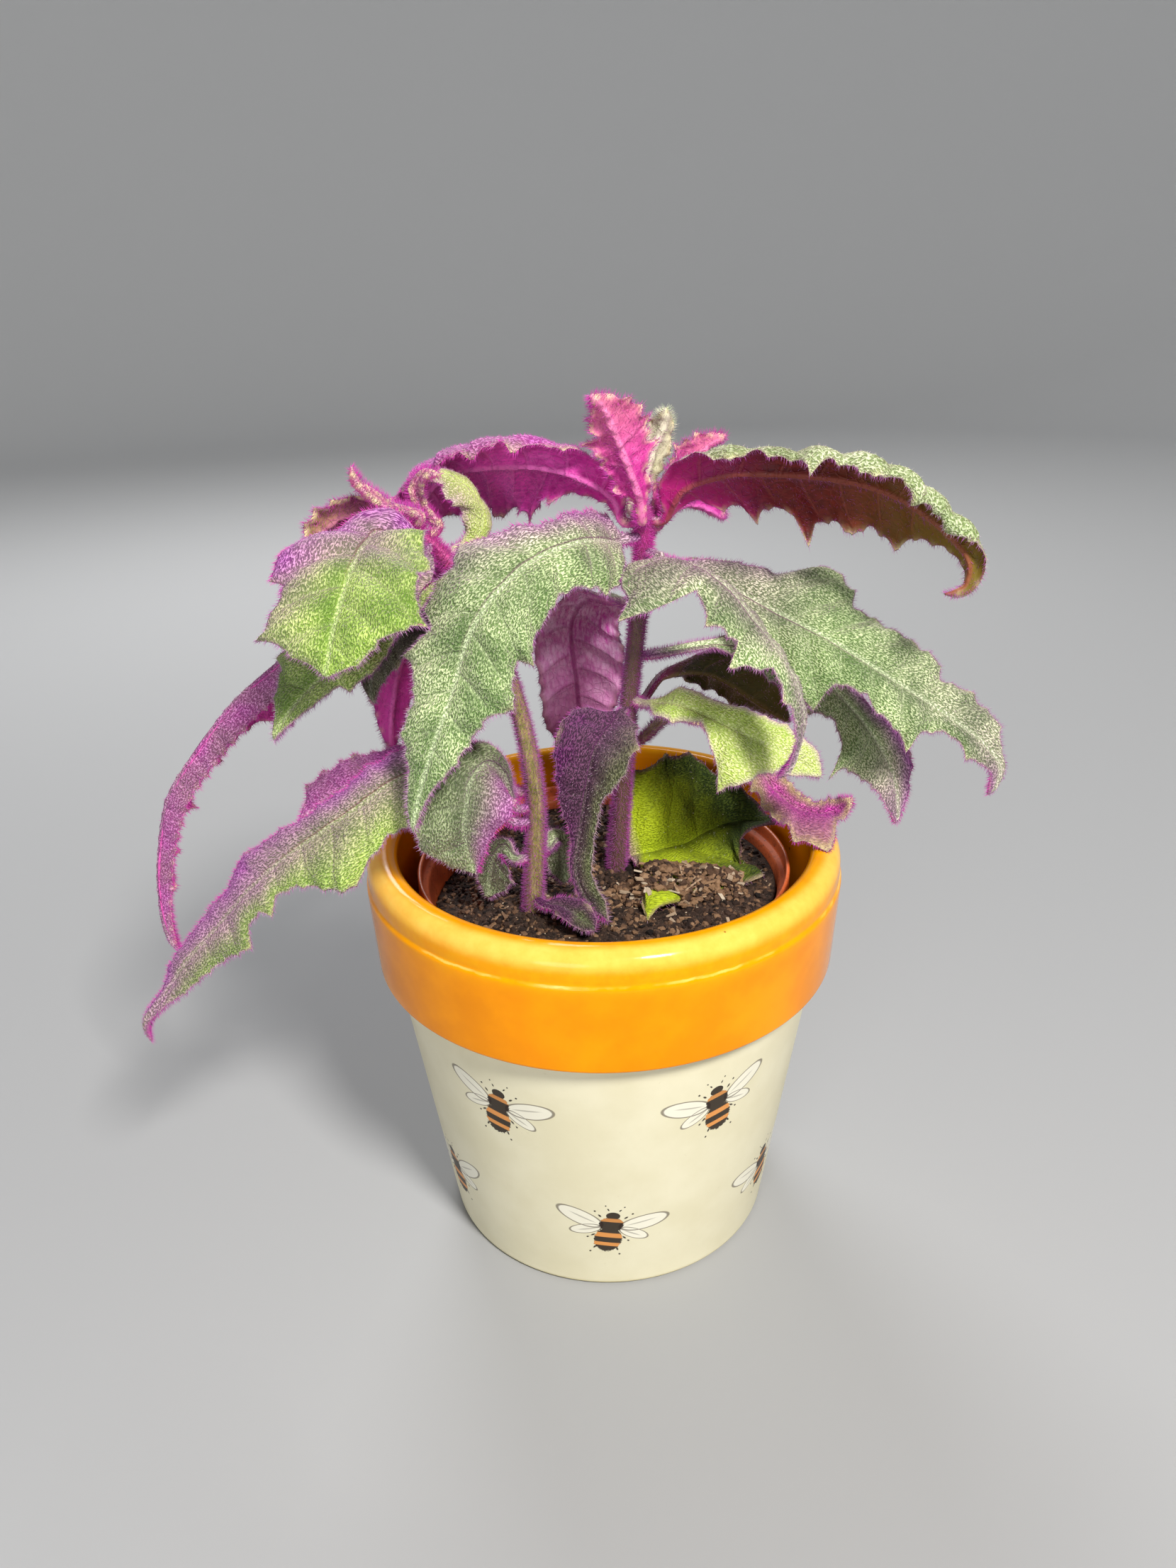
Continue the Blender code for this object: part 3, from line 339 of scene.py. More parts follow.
pot_profile += [(POT_RIM_R, 115.6), (POT_RIM_R - 0.05, 114.4), (POT_RIM_R - 0.12, 113.8),
                (POT_RIM_R, 113.35), (POT_RIM_R + 0.32, 113.0), (POT_RIM_R + 0.48, 112.5)]
pot_profile += between((POT_RIM_R + 0.5, 111.8), (POT_RIM_R - 0.8, POT_BAND_LOW_Z + 1.6), 9)
pot_profile += arc(POT_RIM_R - 2.1, POT_BAND_LOW_Z + 1.4, 1.3, 0, -80, 6)
pot_profile += [(POT_BODY_R + 1.2, POT_BAND_LOW_Z + 0.05), (POT_BODY_R + 0.4, POT_BAND_LOW_Z - 0.1),
                (POT_BODY_R + 0.08, POT_BAND_LOW_Z - 0.5)]
pot_profile += between((POT_BODY_R, POT_BAND_LOW_Z - 1.2), (POT_BASE_R + 0.3, 2.4), 14)
pot_profile += arc(POT_BASE_R - 1.5, POT_FOOT_ROUND, POT_FOOT_ROUND, 5, -85, 6)
pot_profile += between((POT_BASE_R - 2.4, 0), (0, 0), 5) + [(0, 0)]

glaze, place, shader = surface("amber_glaze_and_cream", {
    "IOR": 1.4, "Coat Roughness": 0.03, "Coat IOR": 1.36, "Specular IOR Level": 0.15})
x, y, z = [part * 1000 for part in place.parts()]
radius = (x * x + y * y) ** 0.5
cloudy = place.grain(0.05, 4, 0.55)
runny = place.grain(0.22, 4, 0.65)
speckle = place.grain(0.9)

# Amber from the inside over the rim to the band's lower edge, thin and pale over the lip
deep_amber = cloudy.step(0.35, 0.7).mix((232, 138, 0), (246, 152, 0))
lip = z.step(CREASE_Z - 5, CREASE_Z + 2.5)
amber = (lip * (0.45 + 0.5 * runny.step(0.3, 0.7))).mix(deep_amber, (240, 164, 4))
thin = z.step(116.0, 120.0) * radius.step(60.8, 63.4) * (0.72 + 0.28 * runny.step(0.25, 0.7))
thin = thin * (0.75 + 0.25 * cloudy.step(0.35, 0.65))
amber = (thin * 0.74).mix(amber, (244, 210, 106))
# Darker amber inside the mouth: painted shade on the inner wall, which falls away into the pot.
inside = radius.step(59.5, 56.8)
amber = (inside * 0.75).mix(amber, (206, 118, 4))
wavy = z + (runny - 0.5) * 1.1
hairline = abs(wavy - CREASE_Z).step(0.36, 0.12) * radius.step(63, 64) * cloudy.step(0.44, 0.58)
amber = (hairline * 0.46).mix(amber, (252, 222, 128))
pinholes = place.node("ShaderNodeTexVoronoi", (), {"Vector": place, "Scale": 90.0}).step(0.042, 0.03)
amber = (pinholes * 0.75).mix(amber, (96, 54, 12))

# Cream body, a grey line of painted shade under the band's lower edge and a trace of yellow at the foot
cream = cloudy.step(0.3, 0.75).mix((218, 211, 180), (226, 220, 192))
cream = (speckle.step(0.70, 0.80) * 0.16).mix(cream, (170, 156, 120))
cream = (z.step(1.9, 0.5) * 0.5).mix(cream, (214, 196, 110))
band = z.step(POT_BAND_LOW_Z - 0.05, POT_BAND_LOW_Z + 0.15)

# One bee, drawn in millimetres about its middle and folded on its own axis of symmetry
upper = z.math("GREATER_THAN", z, sum(BEE_ROWS_Z) / 2)
turn = z.math("ARCTAN2", x, y * -1) * (BEES_IN_A_ROW / (2 * math.pi)) + upper * 0.5 + BEES_IN_A_ROW
cell = turn.math("FLOOR", turn + 0.5)
sideways = (turn - cell) * (2 * math.pi / BEES_IN_A_ROW) * radius
high = z - (upper * (BEE_ROWS_Z[1] - BEE_ROWS_Z[0]) + BEE_ROWS_Z[0])
lean = (cell.math("MODULO", cell, 2.0) * 2 - 1) * sin(BEE_TILT)
bee_x = abs(sideways * cos(BEE_TILT) + high * lean) / BEE_SCALE
bee_y = (high * cos(BEE_TILT) - sideways * lean) / BEE_SCALE


def oval(cx, cy, wide, tall, turned_by=0.0):
    """How far out a point is from an oval's middle: 1 on its edge."""
    c, s = cos(radians(turned_by)), sin(radians(turned_by))
    dx, dy = bee_x - cx, bee_y - cy
    u, v = (dx * c + dy * s) / wide, (dy * c - dx * s) / tall
    return (u * u + v * v) ** 0.5


def stroke(ax, ay, bx, by, width):
    """A short straight line of ink from a to b."""
    run = (bx - ax) ** 2 + (by - ay) ** 2
    dx, dy = bee_x - ax, bee_y - ay
    share = (dx * ((bx - ax) / run) + dy * ((by - ay) / run)).step(0, 1)
    u, v = dx - share * (bx - ax), dy - share * (by - ay)
    return ((u * u + v * v) ** 0.5).step(width, width * 0.5)


def either(*masks):
    """The largest of several masks."""
    joined = masks[0]
    for mask in masks[1:]:
        joined = joined.math("MAXIMUM", joined, mask)
    return joined


def wing(cx, cy, wide, tall, turned_by):
    """A petal-shaped wing: its ink outline and one vein, and the area inside."""
    out = oval(cx, cy, wide, tall, turned_by)
    line = abs(out - 1).step(0.1, 0.03)
    vein = oval(cx - wide * 0.12, cy, wide * 0.75, 0.28, turned_by).step(1.0, 0.5)
    return either(line, vein * 0.6), out.step(1.02, 0.96)


ragged = (place.grain(1.6) - 0.5) * 0.35
abdomen = (oval(0, -3.4, 3.3, 4.4) + ragged).step(1.06, 0.98)
thorax = (oval(0, 2.0, 2.9, 2.6) + ragged).step(1.06, 0.98)
head = oval(0, 5.2, 1.7, 1.3).step(1.05, 0.95)
legs = either(stroke(1.8, 3.4, 4.6, 6.3, 0.34), stroke(2.6, -1.2, 5.0, -3.4, 0.34),
              stroke(1.9, -4.8, 3.6, -8.6, 0.34), stroke(0.6, 6.0, 2.3, 8.6, 0.26))
fore_line, fore_fill = wing(7.9, 3.4, 6.0, 2.35, 20)
hind_line, hind_fill = wing(5.9, -0.6, 3.9, 1.6, -22)
bands = either(abs(bee_y + 1.9).step(0.95, 0.65), abs(bee_y + 5.2).step(0.75, 0.5),
               abs(bee_y - 3.6).step(0.75, 0.5) * 0.8)
ink = either(abdomen, thorax, head, legs)
printed = band.math("SUBTRACT", 1.0, band) * radius.step(46.5, 47.5) * z.step(6, 8)
cream = (either(fore_fill, hind_fill) * printed * 0.55).mix(cream, (240, 238, 228))
cream = (either(fore_line, hind_line) * printed * 0.75).mix(cream, (92, 80, 68))
cream = (ink * printed * 0.96).mix(cream, (40, 27, 22))
cream = (bands * either(abdomen, thorax) * printed * 0.92).mix(cream, (224, 152, 84))
skin = band.mix(cream, amber)
# A grey line just below the band: painted shade under the band's overhanging edge.
painted_shade_under_band = abs(z - (POT_BAND_LOW_Z - 0.35)).step(0.5, 0.15) * radius.step(60, 60.4)
skin = (painted_shade_under_band * 0.55).mix(skin, (128, 118, 104))
unglazed = z.step(0.25, 0.05)
skin = (unglazed * 0.8).mix(skin, (206, 188, 158))
feed(shader, Base_Color=skin, Roughness=0.34 - band * 0.22 + unglazed * 0.4 + cloudy * 0.06,
     Coat_Weight=band * 0.17, Normal=(runny + speckle * 0.12).bump(0.1, 0.0004))
show(turned("cover_pot_glazed", pot_profile), "cover_pot", glaze)


# Nursery pot. Vacuum-formed terracotta plastic, its deeper lip showing inside the cover pot's mouth,
# dirty with dried peat.
GAP = 0.3                                   # between one pot and the next, and the plastic and the peat
NURSERY_R = 52.5
NURSERY_TOP_Z = 112.6
NURSERY_BASE_R = 38.0
NURSERY_WALL = 1.1
NURSERY_LIP = 5.0
NURSERY_STEP = 1.9
NURSERY_STEPS = 144

foot = POT_FLOOR + GAP
sole = foot + NURSERY_WALL
shoulder = NURSERY_TOP_Z - NURSERY_LIP
neck = NURSERY_R - NURSERY_STEP
inner_base = NURSERY_BASE_R - NURSERY_WALL
inner_neck = neck - NURSERY_WALL
inner_lip = NURSERY_R - NURSERY_WALL
half_wall = NURSERY_WALL / 2
nursery_profile = between((0, sole), (inner_base, sole), 3)
nursery_profile += between((inner_base, sole), (inner_neck, shoulder), 8)
nursery_profile += [(inner_neck, shoulder), (inner_neck + 0.5, shoulder + 0.9),
                    (inner_lip - 0.2, shoulder + 1.3)]
nursery_profile += between((inner_lip, shoulder + 1.6), (inner_lip, NURSERY_TOP_Z - 0.5), 4)
nursery_profile += arc(NURSERY_R - half_wall, NURSERY_TOP_Z - half_wall, half_wall, 180, 0, 9)
nursery_profile += between((NURSERY_R, NURSERY_TOP_Z - 0.7), (NURSERY_R, shoulder), 4)
nursery_profile += [(NURSERY_R, shoulder), (NURSERY_R - 0.2, shoulder - 0.25), (neck, shoulder - 0.4)]
nursery_profile += between((neck, shoulder - 0.4), (NURSERY_BASE_R, foot), 8)[1:]
nursery_profile += [(NURSERY_BASE_R, foot), (0, foot)]

plastic, place, shader = surface("terracotta_plastic", {"IOR": 1.48})
dirt = place.grain(0.35, 4, 0.65).step(0.52, 0.72)
fine_dirt = place.grain(1.4, 3).step(0.60, 0.72)
tone = place.grain(0.08, 3).mix((200, 88, 44), (226, 116, 66))
tone = (dirt * 0.45).mix(tone, (96, 48, 30))
tone = (fine_dirt * 0.55).mix(tone, (52, 34, 26))
feed(shader, Base_Color=tone, Roughness=0.38 + dirt * 0.3, Normal=fine_dirt.bump(0.2, 0.0002))
show(turned("nursery_pot_plastic", nursery_profile, NURSERY_STEPS), "nursery_pot", plastic)


# Peat. Dark damp compost that fills the nursery pot, lumpy on top, with loose crumbs, a few pale grains
# of grit and torn bits of bark scattered over it.
SOIL_Z = 107.2
SOIL_HUMP = 0.9
LEFT_DIP = 6.5
SOIL_RINGS = 64
SOIL_STEPS = 176
CRUMBS_TO_A_SQUARE_MM = 0.42
GRIT_TO_A_SQUARE_MM = 0.03
BARK_TO_A_SQUARE_MM = 0.05
CRUMB = ("GeometryNodeMeshIcoSphere", (), {"Radius": 0.5, "Subdivisions": 1})
CHIP = ("GeometryNodeMeshCube", (), {"Size": (1.0, 1.0, 1.0)})


def soil_height(x, y):
    """Height of the peat's surface, a little uneven and lower at the wall."""
    r = np.hypot(x, y)
    waves = np.sin(0.13 * x + 0.7) * np.cos(0.11 * y - 0.4) + 0.5 * np.sin(0.23 * y + 0.09 * x)
    sunk = 1.2 * (r / 50) ** 4 + LEFT_DIP * np.clip((-x - 24) / 18, 0, 1) ** 1.3
    return SOIL_Z + SOIL_HUMP * waves * np.clip((50 - r) / 12, 0, 1) - sunk


def lumpy(x, y):
    """Clods and pits of the peat's surface, in millimetres."""
    clods = noise.fractal(Vector((x * 0.16, y * 0.16, 3.1)), 1.0, 2.0, 3)
    crumb = noise.fractal(Vector((x * 0.7, y * 0.7, 8.7)), 1.0, 2.0, 2)
    return 1.1 * clods + 0.6 * crumb


class Tree(Wire):
    """A geometry tree with named inputs for its sizes, run once on an object to give a plain mesh."""

    def __init__(self, name, sizes):
        super().__init__(bpy.data.node_groups.new(name, 'GeometryNodeTree'))
        face = self.tree.interface
        face.new_socket("Geometry", in_out='INPUT', socket_type='NodeSocketGeometry')
        self.ids = {}
        for key, value in sizes.items():
            kind = {int: 'NodeSocketInt', float: 'NodeSocketFloat'}.get(type(value), 'NodeSocketMaterial')
            self.ids[key] = face.new_socket(key, in_out='INPUT', socket_type=kind).identifier
        face.new_socket("Geometry", in_out='OUTPUT', socket_type='NodeSocketGeometry')
        self.sizes = sizes
        self.entry = self.tree.nodes.new("NodeGroupInput")
        self.geometry = Wire(self.tree, self.entry.outputs["Geometry"])

    def size(self, key):
        """One of the named inputs."""
        return Wire(self.tree, self.entry.outputs[key])

    def between(self, low, high, seed):
        """A random number for each point."""
        return self.node("FunctionNodeRandomValue", {"data_type": 'FLOAT'}, {2: low, 3: high, 8: seed}, 1)

    def between_vectors(self, low, high, seed):
        """Three random numbers for each point."""
        return self.node("FunctionNodeRandomValue", {"data_type": 'FLOAT_VECTOR'}, {0: low, 1: high, 8: seed})

    def stored(self, name, kind='FLOAT'):
        """An attribute of the points."""
        return self.node("GeometryNodeInputNamedAttribute", {"data_type": kind}, {"Name": name})

    def cast(self, density):
        """Points thrown over the faces."""
        return self.node("GeometryNodeDistributePointsOnFaces", {"distribute_method": 'RANDOM'}, {
            "Mesh": self.geometry, "Density": density, "Seed": self.size("Seed")})

    def shaded(self, points, shade):
        """The points with a shade kept on each."""
        return self.node("GeometryNodeStoreNamedAttribute", {"data_type": 'FLOAT', "domain": 'POINT'}, {
            "Geometry": points, "Name": "shade", "Value": shade})

    def plant(self, piece, points, turn, size):
        """Puts a turned and sized copy of a piece on each point."""
        self.geometry = self.node("GeometryNodeInstanceOnPoints", (), {
            "Points": points, "Instance": piece, "Rotation": turn, "Scale": size})

    def made_on(self, obj, name):
        """Runs the tree on an object and returns the result as a new object with a plain mesh."""
        group_output = self.tree.nodes.new("NodeGroupOutput")
        solid = self.node("GeometryNodeRealizeInstances", (), {"Geometry": self.geometry})
        painted = self.node("GeometryNodeSetMaterial", (), {
            "Geometry": solid, "Material": self.size("Finish")})
        self.tree.links.new(painted.output, group_output.inputs[0])
        modifier = obj.modifiers.new(name, 'NODES')
        modifier.node_group = self.tree
        for key, value in self.sizes.items():
            modifier[self.ids[key]] = value
        bpy.context.view_layer.update()
        grown = obj.evaluated_get(bpy.context.evaluated_depsgraph_get())
        made = bpy.data.meshes.new_from_object(grown)
        obj.modifiers.remove(modifier)
        made.name = name
        return bpy.data.objects.new(name, made)


soil_floor = sole + GAP
soil_foot_r = inner_base - GAP
soil_wall_r = inner_neck - GAP - 0.3
wall_slope = (neck - NURSERY_BASE_R) / (shoulder - foot)
bm = bmesh.new()
centre = bm.verts.new((0, 0, (soil_height(0, 0) + lumpy(0, 0)) * MM))
rings = []
for share in np.linspace(1 / SOIL_RINGS, 1, SOIL_RINGS) ** 0.8:
    rings.append([])
    for a in round_circle(SOIL_STEPS):
        r = soil_wall_r * share
        r -= wall_slope * share ** 6 * max(0, SOIL_Z - soil_height(r * cos(a), r * sin(a)))
        px, py = r * cos(a), r * sin(a)
        height = soil_height(px, py) + lumpy(px, py) * min(1, (1 - share) * 12)
        rings[-1].append(bm.verts.new((px * MM, py * MM, height * MM)))
for r, height in ((soil_wall_r - 2.2, SOIL_Z - 14), (soil_foot_r, soil_floor)):
    rings.append(level_ring(bm, r, height, SOIL_STEPS))
for k in range(SOIL_STEPS):
    n = (k + 1) % SOIL_STEPS
    bm.faces.new((centre, rings[0][k], rings[0][n]))
    for inner, outer in zip(rings, rings[1:]):
        bm.faces.new((inner[k], outer[k], outer[n], inner[n]))
bm.faces.new(reversed(rings[-1]))
mesh = finished("peat_fill", bm)

peat, place, shader = surface("damp_peat", {"Specular IOR Level": 0.3})
clod = place.grain(0.5, 4, 0.7)
glint = place.grain(2.4)
tone = clod.step(0.3, 0.7).mix((18, 12, 10), (76, 57, 46))
tone = (glint.step(0.62, 0.74) * 0.7).mix(tone, (146, 128, 112))
feed(shader, Base_Color=tone, Roughness=0.95 - glint.step(0.55, 0.75) * 0.3,
     Normal=(clod + glint * 0.6).bump(0.9, 0.0006))
peat_fill = show(bpy.data.objects.new("peat_fill", mesh), "potting_soil", peat)

# Loose crumbs lie on a copy of the surface's inner part
crumb_finish, place, shader = surface("peat_crumb", {"Specular IOR Level": 0.3})
shade = place.attribute("shade")
tone = shade.node("ShaderNodeValToRGB", {"stops": [
    (0.0, (18, 12, 10)), (0.45, (60, 43, 34)), (0.7, (112, 84, 62)),
    (0.88, (142, 112, 84)), (1.0, (196, 182, 160))]}, {0: shade})
feed(shader, Base_Color=tone, Roughness=0.9 - shade * 0.25, Normal=place.grain(3.0).bump(0.6, 0.0003))

bed = bpy.data.meshes.new("crumb_bed")
inside = [vertex.index for vertex in mesh.vertices if vertex.co.z > (SOIL_Z - 10) * MM
          and math.hypot(vertex.co.x, vertex.co.y) < (soil_wall_r - 1) * MM]
kept = {old: new for new, old in enumerate(inside)}
bed.from_pydata([mesh.vertices[i].co for i in inside], [],
                [[kept[v] for v in face.vertices] for face in mesh.polygons
                 if all(v in kept for v in face.vertices)])
bed_object = bpy.data.objects.new("crumb_bed", bed)
link(bed_object)


def strewn(name, bed, density, smallest, largest, squash, lump, seed, dullest, brightest):
    """Crumbs or chips thrown over a bed's faces. Squash is their least and greatest proportions, and each
    one's shade on the way from dark to pale lies between dullest and brightest."""
    tree = Tree(name, {"Per square metre": float(density * 1e6), "Smallest": smallest * MM,
                       "Largest": largest * MM, "Seed": seed, "Finish": crumb_finish})
    cast = tree.cast(tree.size("Per square metre"))
    shaded = tree.shaded(cast, tree.between(dullest, brightest, seed + 1))
    lump = tree.node(*lump)
    turn = tree.node("FunctionNodeEulerToRotation", (), {
        "Euler": tree.between_vectors((-0.5, -0.5, -3.14), (0.5, 0.5, 3.14), seed + 2)})
    length = tree.between(tree.size("Smallest"), tree.size("Largest"), seed + 3)
    shape = tree.node("ShaderNodeVectorMath", {"operation": 'SCALE'}, {
        0: tree.between_vectors(squash[0], squash[1], seed + 4), "Scale": length})
    tree.plant(lump, shaded, turn, shape)
    show(tree.made_on(bed, name), None)


strewn("peat_crumbs", bed_object, CRUMBS_TO_A_SQUARE_MM, 0.6, 2.9, ((.6, .5, .4), (1, 1, .8)), CRUMB, 11,
       0.0, 0.85)
strewn("peat_grit", bed_object, GRIT_TO_A_SQUARE_MM, 0.3, 0.8, ((.7, .6, .5), (1, 1, .9)), CRUMB, 23,
       0.9, 1.0)
strewn("peat_bark", bed_object, BARK_TO_A_SQUARE_MM, 1.5, 4.2, ((.8, .16, .08), (1, .4, .2)), CHIP, 37,
       0.5, 0.95)
bpy.data.objects.remove(bed_object)


# Stems. Two fleshy square-shouldered stems, olive under a purple bloom, set in the peat. Each carries
# its leaves.
STEMS = {                                   # middle lines, and the radius at the foot and at the top
    "stem_left": dict(
        points=[(-19, -20.5, 80), (-19, -20.5, 95), (-19, -20.5, 110), (-17.8, -20.3, 126), (-17.3, -20, 141),
                (-19, -19, 157), (-22, -18, 171), (-26, -17, 184), (-32, -15, 196), (-40, -13, 206),
                (-46, -11, 210)], foot=2.9, top=1.7),
    "stem_right": dict(
        points=[(4, 2, 80), (4, 2, 95), (4, 2, 110), (5.5, 2, 130), (7.5, 2, 157), (10, 1.5, 180),
                (11.5, 0.5, 197), (11.5, -1, 212)], foot=2.9, top=2.0),
}
STEM_SIDES = 24
STEM_ROWS = 220
STEM_RIDGES = 5
STEM_CLEAR_Z = 106                          # it stands clear of the peat and grows hairs from here up


def smooth_curve(points, count=161):
    """A curve through listed points, given as points at even lengths along it."""
    p = np.array(points, float)
    step = np.maximum(np.linalg.norm(np.diff(p, axis=0), axis=1), 1e-6) ** 0.5
    slope = np.zeros_like(p)
    run = np.diff(p, axis=0) / step[:, None]
    slope[1:-1] = ((run[:-1] * step[1:, None] + run[1:] * step[:-1, None])
                   / (step[:-1] + step[1:])[:, None])
    slope[0] = 1.5 * run[0] - 0.5 * slope[1]
    slope[-1] = 1.5 * run[-1] - 0.5 * slope[-2]
    fine = []
    for i, h in enumerate(step):
        for s in np.linspace(0, 1, 24, endpoint=False):
            fine.append((2 * s**3 - 3 * s**2 + 1) * p[i] + (s**3 - 2 * s**2 + s) * h * slope[i]
                        + (3 * s**2 - 2 * s**3) * p[i + 1] + (s**3 - s**2) * h * slope[i + 1])
    fine = np.array(fine + [p[-1]])
    along = np.concatenate([[0], np.cumsum(np.linalg.norm(np.diff(fine, axis=0), axis=1))])
    even = np.linspace(0, along[-1], count)
    return np.stack([np.interp(even, along, fine[:, c]) for c in range(3)], axis=1)


def unit(v):
    """Vectors brought to length 1."""
    return v / np.maximum(np.linalg.norm(v, axis=-1, keepdims=True), 1e-12)


def lengthwise(rows, t):
    """Rows of a table kept at even t, read at any t."""
    even = np.linspace(0, 1, len(rows))
    return np.stack([np.interp(t, even, rows[:, c]) for c in range(3)], axis=-1)


def stem_at(stem, z):
    """Centre, radius and direction of a stem at height z."""
    line = smooth_curve(STEMS[stem]["points"])
    f = np.interp(z, line[:, 2], np.linspace(0, 1, len(line)))
    radius = STEMS[stem]["foot"] + (STEMS[stem]["top"] - STEMS[stem]["foot"]) * f
    heading = unit(lengthwise(np.gradient(line, axis=0), f))
    return lengthwise(line, f), radius, heading


def skin(name, rings, values):
    """A closed smooth mesh over rings of equal count, capped at both ends, with its point attributes."""
    rows, count = len(rings), len(rings[0])
    made = bpy.data.meshes.new(name)
    faces = [(i * count + k, i * count + (k + 1) % count,
              (i + 1) * count + (k + 1) % count, (i + 1) * count + k)
             for i in range(rows - 1) for k in range(count)]
    faces += [tuple(range(count)), tuple(range((rows - 1) * count, rows * count))]
    made.from_pydata((np.concatenate(rings) * MM).tolist(), [], faces)
    for key, value in values.items():
        value = np.asarray(value, np.float32)
        wide = value.ndim == 2
        layer = made.attributes.new(key, 'FLOAT_VECTOR' if wide else 'FLOAT', 'POINT')
        layer.data.foreach_set("vector" if wide else "value", value.ravel())
    bm = bmesh.new()
    bm.from_mesh(made)
    bmesh.ops.recalc_face_normals(bm, faces=bm.faces)
    bmesh.ops.triangulate(bm, faces=[face for face in bm.faces if len(face.verts) > 4])
    bm.to_mesh(made)
    bm.free()
    made.shade_smooth()
    return made


stem_finish, place, shader = surface("stem_skin", {
    "Sheen Weight": 0.35, "Sheen Roughness": 0.4, "Sheen Tint": (0.75, 0.25, 0.65, 1)})
ridge = place.attribute("ridge")
mottle = place.grain(0.35, 4, 0.6)
streak = place.node("ShaderNodeMapping", (), {"Vector": place, "Scale": (1, 1, 0.18)}).grain(1.3, 3)
tone = mottle.step(0.3, 0.7).mix((104, 104, 40), (152, 138, 80))
tone = (streak.step(0.5, 0.7) * 0.5).mix(tone, (178, 168, 112))
tone = (ridge.step(0.5, 1.0) * mottle.step(0.3, 0.6) * 0.55).mix(tone, (140, 62, 112))
# The right stem is painted darker: painted shade, as it stands in the shade of the leaves.
tone = (place.parts()[0].step(-0.004, 0.004) * 0.75).mix(tone, (84, 46, 54))
tone = (place.parts()[2].step(0.186, 0.206) * 0.85).mix(tone, (190, 40, 140))
feed(shader, Base_Color=tone, Roughness=0.5 + mottle * 0.2, Normal=(streak + mottle).bump(0.5, 0.0003))

grown = []
for stem, sizes in STEMS.items():
    line = smooth_curve(sizes["points"], STEM_ROWS)
    heading = unit(np.gradient(line, axis=0))
    side = unit(np.cross(heading, (0, 1, 0.001)))
    front = np.cross(heading, side)
    share = np.linspace(0, 1, STEM_ROWS)
    radius = sizes["foot"] + (sizes["top"] - sizes["foot"]) * share
    round_end = np.sqrt(np.clip(1 - np.clip((share - 0.988) / 0.012, 0, 0.98) ** 2, 0, 1))
    turn = round_circle(STEM_SIDES)
    ridges = np.cos(STEM_RIDGES * turn[None, :] + 2.2 * share[:, None])
    reach = (radius * round_end)[:, None] * (0.955 + 0.045 * ridges)
    rings = [line[i] + reach[i][:, None] * (np.cos(turn)[:, None] * side[i]
                                            + np.sin(turn)[:, None] * front[i])
             for i in range(STEM_ROWS)]
    clear = np.repeat((line[:, 2] > STEM_CLEAR_Z).astype(float), STEM_SIDES)
    young = np.repeat(np.clip((share - 0.72) / 0.22, 0, 1), STEM_SIDES)
    values = {"ridge": (ridges * 0.5 + 0.5).ravel(), "fuzz": clear * (6.5 + 7 * young),
              "hair": 1.3 + 0.5 * young, "flush": 0.76 + 0.3 * young,
              "comb": np.repeat(heading * 0.15, STEM_SIDES, axis=0)}
    mesh = skin(stem + "_fine", rings, values)
    grown.append(show(bpy.data.objects.new(stem + "_fine", mesh), stem, stem_finish))


# Leaves. Thin soft blades with jagged margins, grown one by one from the stems on short stalks. The top
# is green under a pale felt, partly the hairs' own pale and partly painted highlights on them, the
# underside maroon, and every margin and vein carries purple.
PETIOLE_R = 1.25
BLADE = 0.6                                 # thickness
RIB = 0.8                                   # how far the midrib stands out below
GROOVE = 0.45                               # how far the midrib is sunk above
SEAT = 0.4                                  # gap that the solid keeps to its stem
ROOTED = 0.5                                # depth of the stalk in the stem
LEAN_IN = 0.06                              # share of the leaf over which its side veins take up their lean
ROW_GAP = 0.85                              # between rows of points along a blade
MOST_ROWS = 132
WIDEST = 16                                 # half width from which the relief grows no more
PLUMP = 0.11                                # rise between two veins, for a millimetre of half width
RUFFLE, RUFFLE_GAP = 0.06, 12.5             # long waves of the margin
FRILL, FRILL_GAP = 0.035, 5.3               # short ones
DRAPE = 0.65                                # slow rise and fall of the whole blade
VEIN_GAP = 9.5
VEIN_BEND = 0.02
TOOTH_GAP = 5.6
TOOTH_REACH = 0.8
TOOTH_WIDTH = 0.75
SHARES = np.array([0, .05, .13, .26, .42, .58, .73, .85, .93, .975, 1])    # points across half a blade
SHARES = np.concatenate([-SHARES[:0:-1], SHARES])
MAGENTAS = ((112, 14, 92), (184, 48, 148), (152, 42, 126))
HORN_CREAM = (226, 214, 160)                # the hard tips of the teeth
TOP_ROUGHNESS = 0.55


def eased(keys, t):
    """Value at t from (t, value) keys, easing in and out of each; a bare number is constant."""
    t = np.asarray(t, float)
    if np.isscalar(keys):
        return np.full(t.shape, float(keys))
    at = np.array([key[0] for key in keys], float)
    value = np.array([key[1] for key in keys], float)
    i = np.clip(np.searchsorted(at, t, side="right") - 1, 0, len(at) - 2)
    f = np.clip((t - at[i]) / (at[i + 1] - at[i]), 0, 1)
    f = f * f * (3 - 2 * f)
    if value.ndim > 1:
        f = f[..., None]
    return value[i] + (value[i + 1] - value[i]) * f


